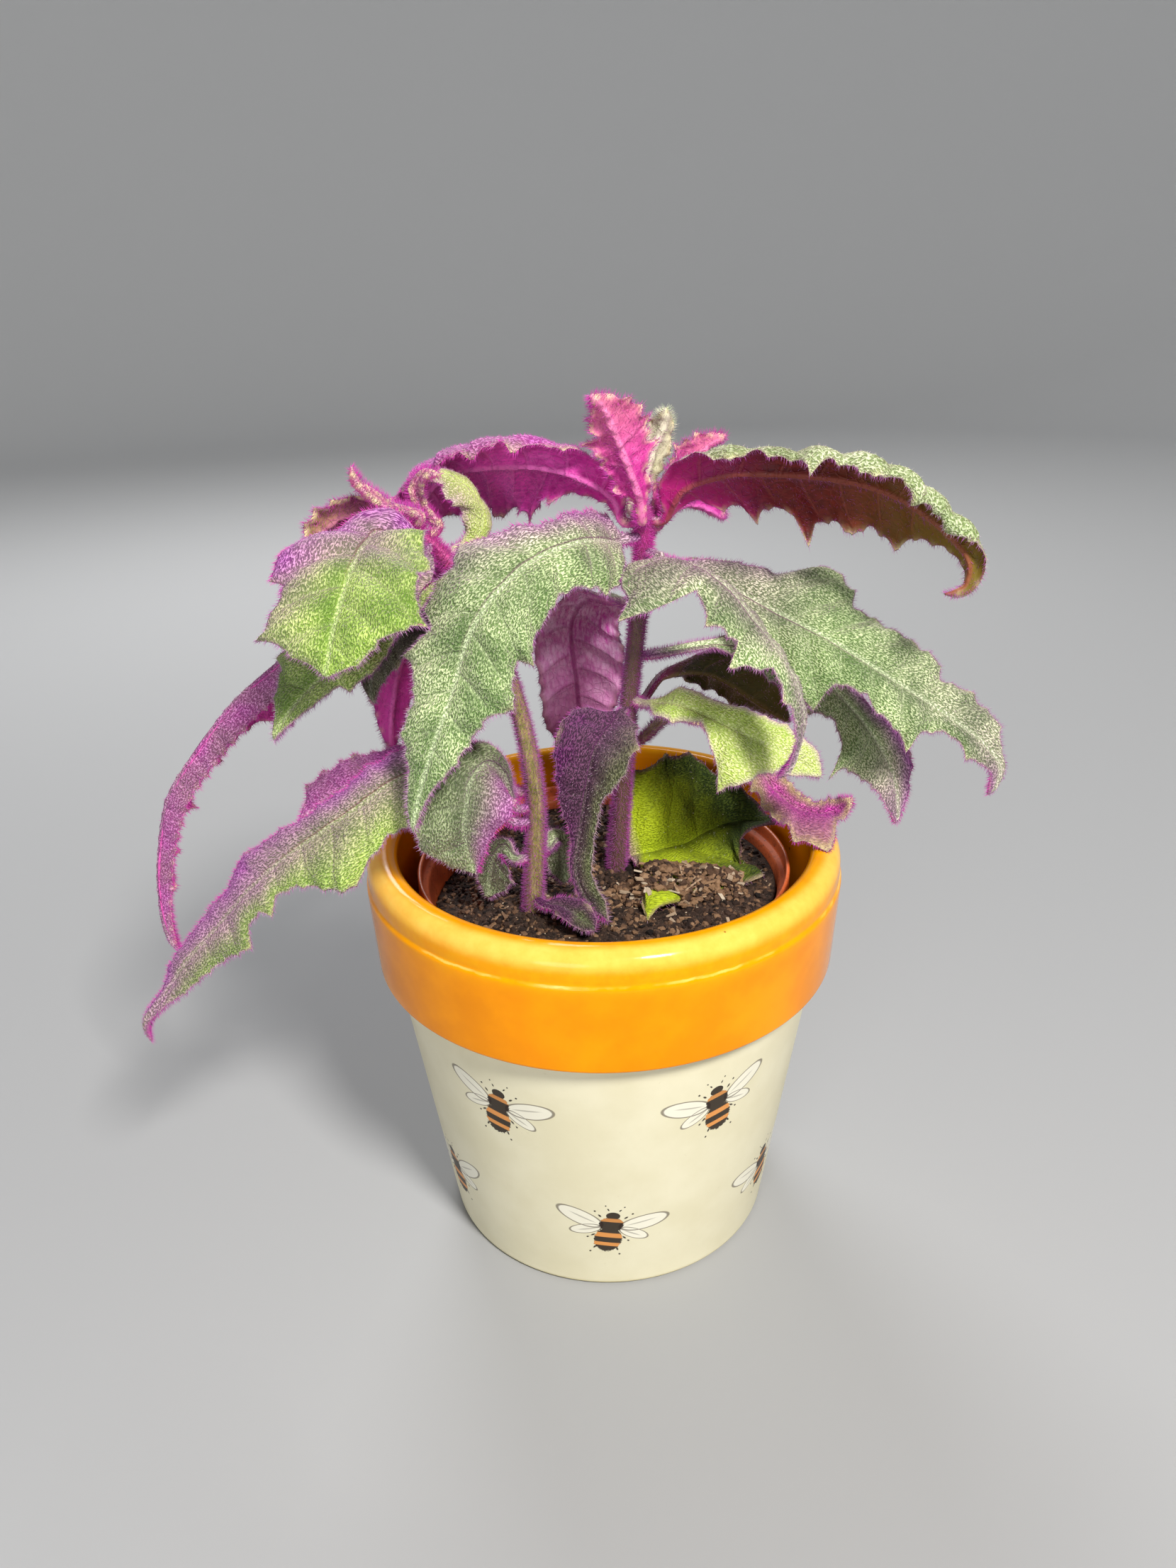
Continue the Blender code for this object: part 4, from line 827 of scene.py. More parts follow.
def blade_surface(spec, t, d):
    """Point of the middle surface at t along the midrib and d across it, positive to its right."""
    t, d = np.broadcast_arrays(np.asarray(t, float), np.asarray(d, float))
    line, tangent, normal = spec["line"], spec["tangent"], spec["normal"]
    along = unit(lengthwise(tangent, t))
    up = lengthwise(normal, t)
    up = unit(up - (up * along).sum(-1, keepdims=True) * along)
    side = np.cross(along, up)
    right = d > 0
    fold = np.where(right, eased(spec["fold"][1], t), eased(spec["fold"][0], t))
    roll = np.where(right, eased(spec["roll"][1], t), eased(spec["roll"][0], t))
    reach = np.abs(d)
    across, rise, parts = 0, 0, 12
    for k in range(parts):
        angle = np.radians(fold + roll * ((k + 0.5) / parts * reach / spec["scale"]) ** 2)
        across = across + np.cos(angle) * reach / parts
        rise = rise + np.sin(angle) * reach / parts
    lean = np.radians(eased(spec["sweep"], t)) * np.clip(t / LEAN_IN, 0, 1)
    out = np.cos(lean)[..., None] * np.where(right, 1, -1)[..., None] * side + np.sin(lean)[..., None] * along
    return lengthwise(line, t) + across[..., None] * out + rise[..., None] * up


def blade_normal(spec, t, d):
    """Direction square to the middle surface, out of the leaf's top side."""
    dt, dd = 0.004, 0.15
    t0, t1 = np.clip(t - dt, 0, 1), np.clip(t + dt, 0, 1)
    along = blade_surface(spec, t1, d) - blade_surface(spec, t0, d)
    across = blade_surface(spec, t, d + dd) - blade_surface(spec, t, d - dd)
    return unit(np.cross(across, along))


def small_tooth(t, length, phase, youth):
    """Distance in millimetres from the nearest small tooth of a margin. Young leaves have them closer."""
    gap = TOOTH_GAP * (1 - 0.45 * youth)
    return np.abs((t * length / gap + phase) % 1 - 0.5) * gap


def half_width(points, t, length, phase, youth):
    """Margin's distance from the midrib at each t: sharp points, round hollows, small teeth between."""
    at = np.array([point[0] for point in points], float)
    wide = np.array([point[1] for point in points], float)
    i = np.clip(np.searchsorted(at, t, side="right") - 1, 0, len(at) - 2)
    f = (t - at[i]) / (at[i + 1] - at[i])
    low, high = wide[i], wide[i + 1]
    climbs = (high > low) & (wide[np.minimum(i + 2, len(at) - 1)] < high)
    falls = (low > high) & (wide[np.maximum(i - 1, 0)] < low)
    f = np.where(climbs, f ** 1.5, np.where(falls, 1 - (1 - f) ** 1.5, f))
    plain = low + (high - low) * f
    teeth = TOOTH_REACH * (1 + youth) * np.exp(-(small_tooth(t, length, phase, youth) / TOOTH_WIDTH) ** 2)
    return plain + teeth * np.clip((plain - 3) / (4 - 2 * youth), 0, 1)


def point_nearness(points, v):
    """1 at each jag of a margin and falling to 0 within a few millimetres of it. v runs along the leaf."""
    at = [b for a, b, c in zip(points, points[1:], points[2:]) if b[1] > a[1] and b[1] > c[1]]
    near = np.zeros_like(v)
    for t, _ in at:
        near = np.maximum(near, np.exp(-((v - t * v.max()) / 1.3) ** 2))
    return near


def vein_distance(d, v):
    """Distance in millimetres from the nearest side vein. The veins leave the midrib by turns."""
    place_on_vein = (v - VEIN_BEND * d * d) / VEIN_GAP + np.where(d > 0, 0.5, 0.0)
    return np.abs(place_on_vein % 1 - 0.5) * VEIN_GAP


def leaf_skin(name, slot, greens, felt_and_highlights, vein, unders=MAGENTAS, under_vein=(190, 90, 160),
              rim=(150, 84, 148), felted=0.85, youth=0.0, under_gloss=0.42, sheen=0.22,
              sheen_tint=(0.85, 0.28, 0.8, 1), down=1.0, blush=1.0, ribbed=0.42,
              bloom=((120, 40, 118), (214, 136, 208)), margin=(0.9, 0.35), yellow_to_shade=None):
    """A leaf's finish, in screen colours. Greens run from dark to light, and so do unders, with the tip's
    colour last. Felt is the pale nap on the top, partly the hairs' own pale and partly painted highlights
    on them, and felted how much of it there is. Vein is the colour of the dark line beside the midrib,
    the vein's purple with painted shade in its groove, and ribbed how pale the midrib is. Bloom is the
    purple of the top, dark and light. Down is how hairy the leaf is, blush how purple its hairs are and
    youth how crinkled it is. Margin is the width and strength of the rim colour, and the last argument
    gives the two X between which an old leaf goes from its own yellow to a dark green that is partly
    painted shade."""
    made, place, shader = surface(name, {
        "Sheen Weight": sheen, "Sheen Roughness": 0.45, "Sheen Tint": sheen_tint, "Specular IOR Level": 0.2})
    blade = place.node("ShaderNodeUVMap", {"uv_map": "blade"})
    u, v, _ = blade.parts()
    under = place.attribute("under").step(0.35, 0.65)
    edge, wash, along, horn = [place.attribute(key) for key in ("edge", "wash", "along", "horn")]
    side = u.math("GREATER_THAN", u, 0.0) * 0.5
    beat = (v - u * u * VEIN_BEND) / VEIN_GAP + side + 100
    vein_off = abs(beat - beat.math("FLOOR", beat) - 0.5) * VEIN_GAP
    inner = edge.step(0.8, 5.0)
    midrib = abs(u).step(1.0, 0.35)
    side_vein = vein_off.step(0.75, 0.15) * inner
    net = place.node("ShaderNodeTexVoronoi", {"feature": 'DISTANCE_TO_EDGE'},
                     {"Vector": place, "Scale": 420.0}).step(0.10, 0.02) * inner

    # The pale nap lies as short pale strokes along the blade, with the green dark between them: the hairs'
    # own pale with painted highlights on them.
    patch = place.grain(0.09, 3, 0.6)
    lie = place.node("ShaderNodeMapping", (), {"Vector": blade, "Scale": (2.7, 1.5, 1.0)})
    strokes = place.node("ShaderNodeTexNoise", (), {"Vector": lie, "Scale": 1.0, "Detail": 1.5,
                                                    "Roughness": 0.5, "Distortion": 0.45})
    pale = strokes.step(0.43, 0.59)
    pits = strokes.step(0.45, 0.34)
    flank = either(abs(u).step(2.4, 0.6), vein_off.step(1.7, 0.4) * inner)
    light_felt = tuple(c + (1 - c) * 0.3 for c in screen(*felt_and_highlights)[:3]) + (1.0,)
    deep_green = tuple(c * 0.45 for c in screen(*greens[0])[:3]) + (1.0,)

    ripeness_and_shade = patch.step(0.3, 0.7) * 0.8 + 0.1
    # Over an old leaf the top goes from its own yellow to a near-black green to the right and up its standing
    # half: the yellow is its own, the dark end partly painted shade.
    if yellow_to_shade:
        lie_x, _, lie_z = place.parts()
        ripeness_and_shade = (lie_x + (lie_z - 0.113) * 0.8 + (patch - 0.5) * 0.024).step(yellow_to_shade[1] * MM, yellow_to_shade[0] * MM)
    top = ripeness_and_shade.mix(greens[0], greens[1])
    nap = (pale * 0.82 + 0.18) * (patch.step(0.35, 0.62) * 0.6 + 0.38)
    top = (either(nap, flank * (0.25 + 0.3 * pale)) * felted).mix(top, felt_and_highlights)
    top = (pits * (1 - flank * 0.6) * 0.46).mix(top, deep_green)
    # Broad darker patches at random: painted shade that stands in for the shading of the blade's relief.
    top = (place.grain(0.035).step(0.42, 0.68) * 0.38).mix(top, greens[0])
    beside = u.step(0.3, 1.3) * u.step(5.5, 1.8)
    top = (beside * patch.step(0.7, 0.4) * 0.45).mix(top, greens[0])
    # The midrib and the flanks of the side veins are paler still: the same pale nap, partly painted highlight
    # on the raised ribs.
    rib = abs(u + (patch - 0.5) * 0.5).step(0.85, 0.35) * ribbed
    side_rib = vein_off.step(0.5, 0.15) * inner * (0.25 * ribbed)
    top = (either(rib, side_rib) * (0.35 + pale * 0.65)).mix(top, light_felt)
    flush = wash * (0.7 + patch.step(0.3, 0.7) * 0.4) * (1 - rib * along.step(0.1, 0.3) * 0.5)
    top = flush.mix(top, (pale * 0.75 + 0.1 - pits * 0.1).mix(*bloom))
    # A dark line beside the midrib, in its groove: the vein's purple and painted shade in the groove.
    groove = abs(u - 0.75 + (patch - 0.5) * 0.8).step(0.32, 0.1) * along.step(0.7, 0.35)
    top = (groove * 0.6).mix(top, vein)
    fringe = edge.step(margin[0], 0.1) * down * margin[1]
    top = fringe.mix(top, rim)
    top = (edge.step(0.4, 0.1) * (0.55 * down)).mix(top, (222, 182, 190))
    top = (horn * 0.9).mix(top, HORN_CREAM)

    streaks = place.node("ShaderNodeMapping", (), {"Vector": blade, "Scale": (1.1, 0.35, 1.0)})
    grey = place.node("ShaderNodeTexNoise", (), {"Vector": streaks, "Scale": 1.0, "Detail": 4.0,
                                                 "Roughness": 0.6})
    below = (grey.step(0.3, 0.7) * 0.6 + patch.step(0.35, 0.7) * 0.4).mix(unders[0], unders[1])
    below = (along.step(0.4, 0.9) * 0.8).mix(below, unders[2])
    below = (along.step(0.38, 0.06) * (0.7 * min(1, down * 1.6) * blush)).mix(below, (196, 22, 134))
    below = either(midrib * 0.7, side_vein * 0.3, net * 0.15).mix(below, under_vein)
    below = fringe.mix(below, rim)
    below = (horn * 0.9).mix(below, HORN_CREAM)
    height = (pale - pits * 0.6) * (1 - under) + (grey * 0.8 + side_vein * 0.9 + net * 0.4) * under
    height = height - (side_vein * 1.2 + midrib * 0.6) * (1 - under)
    feed(shader, Base_Color=under.mix(top, below), Normal=height.bump(0.8, 0.0003),
         Roughness=TOP_ROUGHNESS + pale * 0.15 - under * (TOP_ROUGHNESS - under_gloss))
    return {"material": made, "slot": slot, "youth": youth, "down": down, "blush": blush}


GREY_GREEN = leaf_skin("leaf_felted", "leaf_grey_green", ((66, 108, 34), (112, 158, 58)), (228, 246, 184),
                       (104, 58, 88))
BRIGHT_GREEN = leaf_skin("leaf_fresh", "leaf_bright_green", ((86, 130, 22), (136, 182, 40)), (206, 228, 128),
                         (108, 60, 60))
SUNLIT = leaf_skin("leaf_sunlit", "leaf_bright_green", ((162, 202, 52), (214, 242, 98)), (250, 255, 190),
                   (170, 180, 90), rim=(220, 204, 186), felted=0.75, ribbed=0.15, margin=(2.0, 0.7))
WOOLLY = leaf_skin("leaf_woolly", "leaf_yellow_green", ((120, 124, 80), (160, 164, 112)), (226, 226, 200),
                   (150, 140, 110), ((150, 146, 104), (216, 212, 182), (214, 208, 184)), (230, 224, 200),
                   (170, 140, 150), felted=1.0, youth=0.7, sheen=0.2, blush=0.15)
# The old leaf's darkest green is partly painted shade, where its standing half rises behind.
OLD = leaf_skin("leaf_old", "leaf_yellow_green", ((18, 38, 2), (182, 202, 28)), (176, 196, 76), (50, 42, 8),
                ((50, 58, 16), (96, 100, 36), (70, 74, 26)), (96, 84, 40), (112, 52, 84), felted=0.17,
                sheen=0.03, sheen_tint=(0.8, 0.85, 0.5, 1), down=0.12, ribbed=0.0, margin=(1.6, 5.0),
                yellow_to_shade=(20, 42))
# A darker copy of the green for leaves deep among the others: painted shade.
DEEP_SHADE_GREEN = leaf_skin("leaf_shaded", "leaf_dark_green", ((40, 58, 18), (80, 100, 44)), (136, 154, 104),
                       (60, 56, 30), ((20, 22, 6), (56, 60, 18), (84, 80, 28)), (100, 88, 40), (84, 40, 70),
                       sheen=0.1, down=0.6, blush=0.7)
PURPLE = leaf_skin("leaf_purple_under", "leaf_purple", ((98, 116, 60), (138, 158, 88)), (206, 214, 180),
                   (130, 60, 110), ((160, 24, 124), (236, 78, 186), (204, 64, 160)), (226, 110, 186),
                   (170, 60, 152), youth=0.35, under_gloss=0.36, bloom=((150, 40, 130), (216, 120, 200)))
# The shiny underside of the leaf hanging behind: its own magenta, running up in patches to a near-white lilac
# that is painted highlight.
GLOSSY_PAINTED_GLINTS = leaf_skin("leaf_glossy_under", "leaf_purple", ((98, 116, 60), (138, 158, 88)), (206, 214, 180),
                   (130, 60, 110), ((206, 72, 176), (255, 220, 248), (244, 160, 218)), (150, 20, 112),
                   (186, 130, 140), under_gloss=0.2, margin=(2.4, 0.7))
MAROON = leaf_skin("leaf_maroon_under", "leaf_purple", ((98, 124, 56), (140, 166, 86)), (220, 232, 190),
                   (120, 80, 70), ((64, 14, 16), (116, 32, 30), (112, 98, 22)), (140, 70, 56),
                   (150, 70, 120), youth=0.2, sheen=0.2, sheen_tint=(0.85, 0.35, 0.55, 1), down=0.6)
PINK = leaf_skin("leaf_pink_young", "leaf_pink", ((150, 24, 108), (204, 70, 146)), (236, 186, 190),
                 (220, 104, 160), ((156, 18, 116), (206, 64, 150), (214, 120, 150)), (228, 128, 176),
                 (210, 96, 166), youth=1.0, felted=0.6, bloom=((176, 20, 128), (226, 90, 180)))
CURLED = leaf_skin("leaf_curled_end", "leaf_purple", ((104, 84, 40), (160, 142, 80)), (214, 200, 156),
                   (120, 70, 80), ((60, 44, 24), (110, 88, 48), (150, 96, 90)), (150, 110, 80),
                   (176, 152, 108), youth=0.6, bloom=((150, 14, 122), (216, 66, 184)), margin=(3.2, 0.8))
BUDDING = leaf_skin("leaf_budding", "leaf_purple", ((104, 124, 46), (156, 176, 84)), (226, 214, 170),
                    (150, 90, 110), ((104, 28, 78), (168, 84, 112), (150, 132, 76)), (190, 110, 140),
                    (226, 212, 160), youth=0.7, margin=(1.8, 0.8))
# A darker copy of the grey-green and purple for leaves hanging low under the others: painted shade.
DUSKY_IN_SHADE = leaf_skin("leaf_dusky", "leaf_purple_grey", ((34, 40, 20), (80, 92, 44)), (140, 152, 104),
                  (90, 40, 84), rim=(96, 40, 92), felted=0.8, sheen=0.1, down=0.7, blush=0.75, ribbed=0.08,
                  bloom=((54, 14, 54), (120, 54, 112)))
SHADED = leaf_skin("leaf_shaded_green", "leaf_grey_green", ((62, 92, 38), (104, 138, 64)), (202, 220, 164),
                   (90, 60, 84), felted=0.6, sheen=0.25, ribbed=0.2, bloom=((138, 48, 128), (214, 130, 204)))
SWEPT = ((0, 0), (.3, 20), (1, 25))         # lean of the side veins that three leaves share
blades = []


def leaf(name, stem_name, z, azimuth, via, face, left, right, fold=(0, 0), roll=(0, 0), sweep=15,
         scale=15.0, pitch=0, finish=GREY_GREEN, wash=(0.1, 0.1, 0.1)):
    """One leaf, stalk and blade. It leaves the stem at height z, towards azimuth and pitch. Via is its
    midrib past the stalk, and face where its top looks. Left and right are its half widths at shares of
    its length. Fold bends each half up at the midrib, roll bends it further on its way out to scale, and
    sweep leans the side veins towards the tip. Wash is how purple the top is at its left margin, its
    midrib and its right margin."""
    centre, radius, heading = stem_at(stem_name, z)
    aim = np.array([cos(radians(azimuth)) * cos(radians(pitch)),
                    sin(radians(azimuth)) * cos(radians(pitch)), sin(radians(pitch))])
    out = unit(aim - aim.dot(heading) * heading)
    seat = centre + out * (radius + SEAT)
    line = smooth_curve([centre + out * (radius - ROOTED), seat + out * 2.5] + list(via))
    tangent = unit(np.gradient(line, axis=0))
    tangent[0] = out
    facing = unit(eased(face, np.linspace(0, 1, len(line))))
    normal = unit(facing - (facing * tangent).sum(1, keepdims=True) * tangent)
    spec = dict(line=line, tangent=tangent, normal=normal, fold=fold, roll=roll, sweep=sweep, scale=scale)
    length = np.linalg.norm(np.diff(line, axis=0), axis=1).sum()
    left = [(0, PETIOLE_R)] + list(left) + [(1, 0.3)]
    right = [(0, PETIOLE_R)] + list(right) + [(1, 0.3)]
    even = np.linspace(0, 1, int(np.clip(length / ROW_GAP * (1 + finish["youth"]), 44, MOST_ROWS)))
    marks = [t for t, _ in left + right if 0 < t < 1]
    even = [t for t in even if t in (0, 1) or min(abs(t - mark) for mark in marks) > 0.3 / len(even)]
    t = np.array(sorted(set(even + marks)))[:, None]
    key = sum(map(ord, name)) % 89
    youth = finish["youth"]
    wide_left = half_width(left, t, length, key / 89, youth)
    wide_right = half_width(right, t, length, key / 53, youth)

    share = np.repeat(SHARES[None, :], len(t), axis=0)
    wide = np.where(share < 0, wide_left, wide_right)
    d = share * wide
    edge = (1 - np.abs(share)) * wide
    v = np.repeat(t * length, len(SHARES), axis=1)
    middle, square = blade_surface(spec, t, d), blade_normal(spec, t, d)
    widest = np.maximum(wide_left, wide_right)
    flat = np.clip((widest - PETIOLE_R) / 3.0, 0, 1)
    plump = 1 - np.clip(vein_distance(d, v) / (VEIN_GAP / 2), 0, 1)
    inner = np.clip(np.abs(d) / 4, 0, 1) * np.clip(edge / 3, 0, 1)
    broad = np.minimum(wide, WIDEST)
    relief = PLUMP * broad * (1 - plump ** 2) * inner
    relief += RUFFLE * broad * np.sin(2 * np.pi * v / RUFFLE_GAP + key + 2 * (d > 0)) * share ** 4
    relief += FRILL * broad * np.sin(2 * np.pi * v / FRILL_GAP + 2 * key + 3 * (d > 0)) * share ** 6
    relief += DRAPE * np.sin(0.13 * v + key) * np.cos(0.21 * d + 0.05 * v + 2 * key) * np.clip(wide / 8, 0, 1)
    relief -= GROOVE * np.exp(-(d / 0.9) ** 2)
    crinkle = np.sin(1.5 * v + 2.1 * np.sin(1.1 * d + key)) * np.cos(1.7 * d + 1.3 * np.sin(0.8 * v))
    relief += youth * (0.5 * crinkle + 0.9 * share ** 4 * np.sin(2 * np.pi * v / 5.2 + key))
    relief *= flat * np.clip((1 - t) * 12, 0, 1)
    round_half = np.minimum(PETIOLE_R, widest) * np.sqrt(np.clip(1 - share ** 2, 0, 1))
    thin_half = BLADE / 2 * (1 - share ** 8)
    rib = RIB * np.exp(-(d / 1.1) ** 2) * (1 - 0.7 * t) + GROOVE * np.exp(-(d / 0.9) ** 2)
    upper = middle + square * ((1 - flat) * round_half + flat * thin_half + relief)[..., None]
    lower = middle - square * ((1 - flat) * round_half + flat * (thin_half + rib * (1 - share ** 6))
                               - relief)[..., None]

    def around(top, under=None):
        """Values of the top and the underside, in the order of the ring's points."""
        under = top if under is None else under
        return np.concatenate([top, under[:, -2:0:-1]], axis=1).reshape(-1, *top.shape[2:])

    near_edge = np.clip(1 - edge / 0.9, 0, 1)
    tipward = unit(np.gradient(middle, axis=0))
    outward = unit(np.gradient(middle, axis=1)) * np.sign(share)[..., None]
    comb = 0.5 * tipward + 1.7 * near_edge[..., None] * outward
    ones = np.ones_like(d)
    to_margin = share ** 2 * (3 - 2 * np.abs(share))
    purple = np.where(share < 0, eased(wash[0], t), eased(wash[2], t)) * to_margin
    purple += eased(wash[1], t) * (1 - to_margin)
    purple = np.maximum(purple, np.clip(1 - (t - 0.02) / 0.1, 0, 1) * 0.9)
    jag = np.where(d > 0, point_nearness(right, t * length), point_nearness(left, t * length))
    tooth = np.where(d > 0, small_tooth(t, length, key / 53, youth), small_tooth(t, length, key / 89, youth))
    horn = np.maximum(min(1, 0.6 + youth) * jag, min(1, 1.6 * youth) * np.exp(-(tooth / 0.8) ** 2))
    horn *= np.clip(1 - edge / 1.5, 0, 1)
    mesh = skin(name + "_blade", around(upper, lower).reshape(len(t), -1, 3), {
        "under": around(0 * ones, ones), "edge": around(edge), "wash": around(purple),
        "along": around(t * ones), "horn": around(horn),
        "fuzz": around(((0.5 + 0.8 * purple + 1.5 * youth) * ones + 9 * near_edge) * finish["down"],
                       ((0.6 + 1.6 * youth) * ones + 9 * near_edge) * finish["down"]),
        "hair": around(0.65 + 0.75 * near_edge + 0.3 * youth, 0.8 + 0.6 * near_edge + 0.3 * youth),
        "flush": around((0.1 + 0.45 * near_edge + 0.6 * purple + 0.35 * youth) * finish["blush"],
                        (0.7 + 0.3 * youth * ones) * finish["blush"]),
        "comb": around(comb)})
    spot = np.stack([around(d), around(v)], axis=1)
    corners = np.zeros(len(mesh.loops), np.int32)
    mesh.loops.foreach_get("vertex_index", corners)
    mesh.uv_layers.new(name="blade").data.foreach_set("uv", spot[corners].astype(np.float32).ravel())
    blade = show(bpy.data.objects.new(name + "_blade", mesh), name, finish["material"])
    blades.append((blade, finish["slot"]))
    return blade


# The big leaf hanging in front, left of the middle
leaf("leaf_centre_left", "stem_right", 204.5, 215,
     via=[(-4, -20, 207.5), (-13, -28, 206.5), (-19, -33, 203.5), (-25, -37, 198), (-30, -40, 190),
          (-34, -43, 179), (-39, -46, 166), (-43, -47, 154), (-45, -46, 145)],
     face=[(0, (-.1, -.8, .7)), (.25, (-.1, -1, .6)), (.6, (-.3, -1, .35)), (1, (-.2, -1, .15))],
     left=[(.06, 1.5), (.10, 7), (.15, 12), (.18, 13.5), (.27, 10), (.32, 10.5), (.37, 13.5), (.41, 14.5),
           (.47, 18), (.50, 14), (.54, 14), (.62, 16.5), (.68, 10), (.80, 6.5), (.88, 3)],
     right=[(.04, 1.5), (.07, 9), (.10, 10.5), (.18, 8.5), (.28, 7), (.35, 11.5), (.38, 16), (.43, 12.5),
            (.46, 14.5), (.51, 13.5), (.54, 10), (.59, 16), (.62, 11.5), (.68, 9.5), (.77, 9), (.85, 4.5),
            (.93, 3)],
     fold=(((0, -25), (.3, -10), (1, -5)), ((0, 5), (.3, 0), (1, -5))), roll=(-15, -10),
     sweep=((0, -35), (.2, 0), (.4, 22), (1, 25)),
     wash=(((0, .2), (.2, .05), (1, .05)), ((0, .4), (.3, .1), (1, .05)),
           ((0, .95), (.3, .7), (.5, .15), (1, .05))))

# The narrow toothed leaf right of the middle, folded along its midrib
leaf("leaf_centre_right", "stem_right", 200.5, -45,
     via=[(22, -14, 201), (30, -22, 197), (37, -28, 190), (43, -33, 183), (47, -36, 175), (48.5, -37, 166),
          (47, -36, 158), (43, -34, 152)],
     face=[(0, (.1, -.4, 1)), (.3, (.2, -.8, .8)), (.7, (.4, -1, .3)), (1, (.6, -1, .1))],
     left=[(.08, 1.5), (.2, 7), (.35, 9), (.55, 10), (.75, 7), (.9, 3.5)],
     right=[(.06, 2), (.11, 12.5), (.18, 18), (.22, 25), (.25, 19.5), (.27, 14), (.29, 6), (.33, 8.5),
            (.36, 11), (.42, 9), (.46, 8), (.48, 14), (.54, 10), (.59, 5), (.63, 4.5), (.68, 6.2), (.73, 4),
            (.85, 2.5)],
     fold=(((0, -30), (.3, -65), (1, -60)), ((0, 0), (.5, 5), (1, 0))), roll=(-20, -10),
     sweep=((0, -50), (.2, -5), (.4, 20), (1, 25)),
     wash=(((0, .4), (.7, .3), (1, .75)), ((0, .5), (.6, .3), (1, .6)), ((0, .3), (.6, .05), (1, .6))))

# The broad leaf reaching right
leaf("leaf_right_broad", "stem_right", 197.5, 15,
     via=[(29, 6, 192), (43, 3, 185), (57, -1, 178), (72, -6, 170), (89, -10, 159), (100, -13, 151),
          (104, -14, 145), (102, -14, 137)],
     face=[(0, (.2, -.6, .8)), (.5, (.3, -.8, .8)), (.85, (.4, -.8, .6)), (1, (.7, -.7, .1))],
     left=[(.08, 1.5), (.16, 6), (.25, 10.5), (.29, 20.5), (.34, 22), (.39, 19.5), (.42, 13), (.47, 15),
           (.52, 13), (.58, 14), (.64, 12.5), (.68, 9), (.74, 10.5), (.82, 8.5), (.9, 3), (.95, 2.5)],
     right=[(.1, 1.5), (.25, 8), (.4, 18), (.44, 20), (.49, 9.5), (.56, 8), (.58, 10.5), (.65, 12),
            (.68, 15), (.71, 8), (.76, 4.5), (.80, 4.5), (.83, 7), (.89, 4.5), (.95, 2.5)],
     fold=(((0, 15), (.5, 5), (1, 0)), ((0, -10), (.5, -15), (1, -20))), roll=(-10, -15),
     sweep=((0, 0), (.3, 22), (1, 25)),
     wash=(((0, .9), (.2, .5), (.36, .1), (1, .3)), ((0, .6), (.25, .3), (.45, .06), (1, .4)),
           ((0, .5), (.35, .03), (.8, .1), (1, .8))))

# Behind and below it, drooping past the pot's edge
leaf("leaf_right_lower", "stem_right", 172, 25,
     via=[(34, 8, 173), (50, 11, 168), (66, 11, 157), (78, 8, 142), (83, 4, 130), (82, 0, 122)],
     face=[(0, (.1, -.6, .8)), (.5, (.4, -1, .5)), (1, (.5, -1, .1))],
     left=[(.2, 1.5), (.35, 7), (.5, 9), (.60, 5), (.68, 5.5), (.75, 8), (.81, 8.5), (.9, 4.5)],
     right=[(.2, 1.5), (.35, 8), (.5, 11), (.61, 7), (.66, 10), (.68, 19), (.72, 13), (.79, 10), (.87, 6.5),
            (.94, 4.5)],
     fold=(0, -5), roll=(-15, -10), sweep=SWEPT,
     wash=(((0, .2), (.5, .3), (.65, .9), (1, 1)), ((0, .1), (.7, .05), (1, .6)),
           ((0, .1), (.7, .1), (1, .7))))

# The bright lobed leaf in the middle
leaf("leaf_middle_bright", "stem_right", 160, -40,
     via=[(19, -10, 163), (28, -15, 161), (38, -18, 156.5), (48, -18, 151), (57, -16, 144)],
     face=[(0, (0, -.5, 1)), (.5, (.1, -1, .7)), (1, (.3, -1, .4))],
     left=[(.12, 1.5), (.23, 5), (.43, 4.5), (.56, 6.5), (.71, 7), (.86, 6), (.95, 3)],
     right=[(.12, 1.5), (.2, 5), (.28, 5.5), (.34, 4), (.40, 2.5), (.46, 6.5), (.51, 11), (.54, 17.5),
            (.59, 14), (.67, 8.5), (.76, 5.5), (.86, 4)],
     fold=(5, -5), roll=(-15, -25), sweep=((0, -30), (.3, 10), (1, 25)), finish=SUNLIT)

# A leaf behind it, darkened with painted shade, its underside to the front
leaf("leaf_behind_dark", "stem_right", 158, 45,
     via=[(18, 13, 163), (30, 22, 160), (44, 27, 151), (56, 28, 142)],
     face=[(0, (0, .7, .7)), (1, (.3, .8, .4))],
     left=[(.2, 1.5), (.3, 7), (.45, 12), (.5, 9.5), (.7, 11), (.85, 6)],
     right=[(.2, 1.5), (.33, 9), (.5, 14), (.6, 11), (.72, 12), (.88, 5)],
     fold=(10, 10), roll=(10, 20), sweep=20, finish=DEEP_SHADE_GREEN)

# Folded leaf hanging in front to the peat, darkened with painted shade
leaf("leaf_front_hanging", "stem_right", 157, 245,
     via=[(-1, -13, 152), (-4, -18, 141), (-6, -20, 130), (-7, -23, 121), (-4, -28, 115), (1, -33, 111.5)],
     face=[(0, (-.2, -.8, .6)), (.4, (-.3, -1, .2)), (.8, (-.2, -.9, .5)), (1, (0, -.3, 1))],
     left=[(.05, 1.5), (.12, 8), (.2, 13), (.31, 11), (.43, 6), (.60, 5.5), (.76, 5.5), (.91, 4)],
     right=[(.05, 1.5), (.14, 11), (.22, 12), (.32, 10), (.47, 7), (.56, 4), (.64, 2.2), (.85, 2)],
     fold=(25, 0), roll=(0, 10), sweep=((0, -10), (.3, 20), (1, 25)), finish=DUSKY_IN_SHADE,
     wash=(((0, .8), (.3, .1), (.7, 0), (1, .1)), ((0, .9), (.4, .7), (1, .5)), 1))

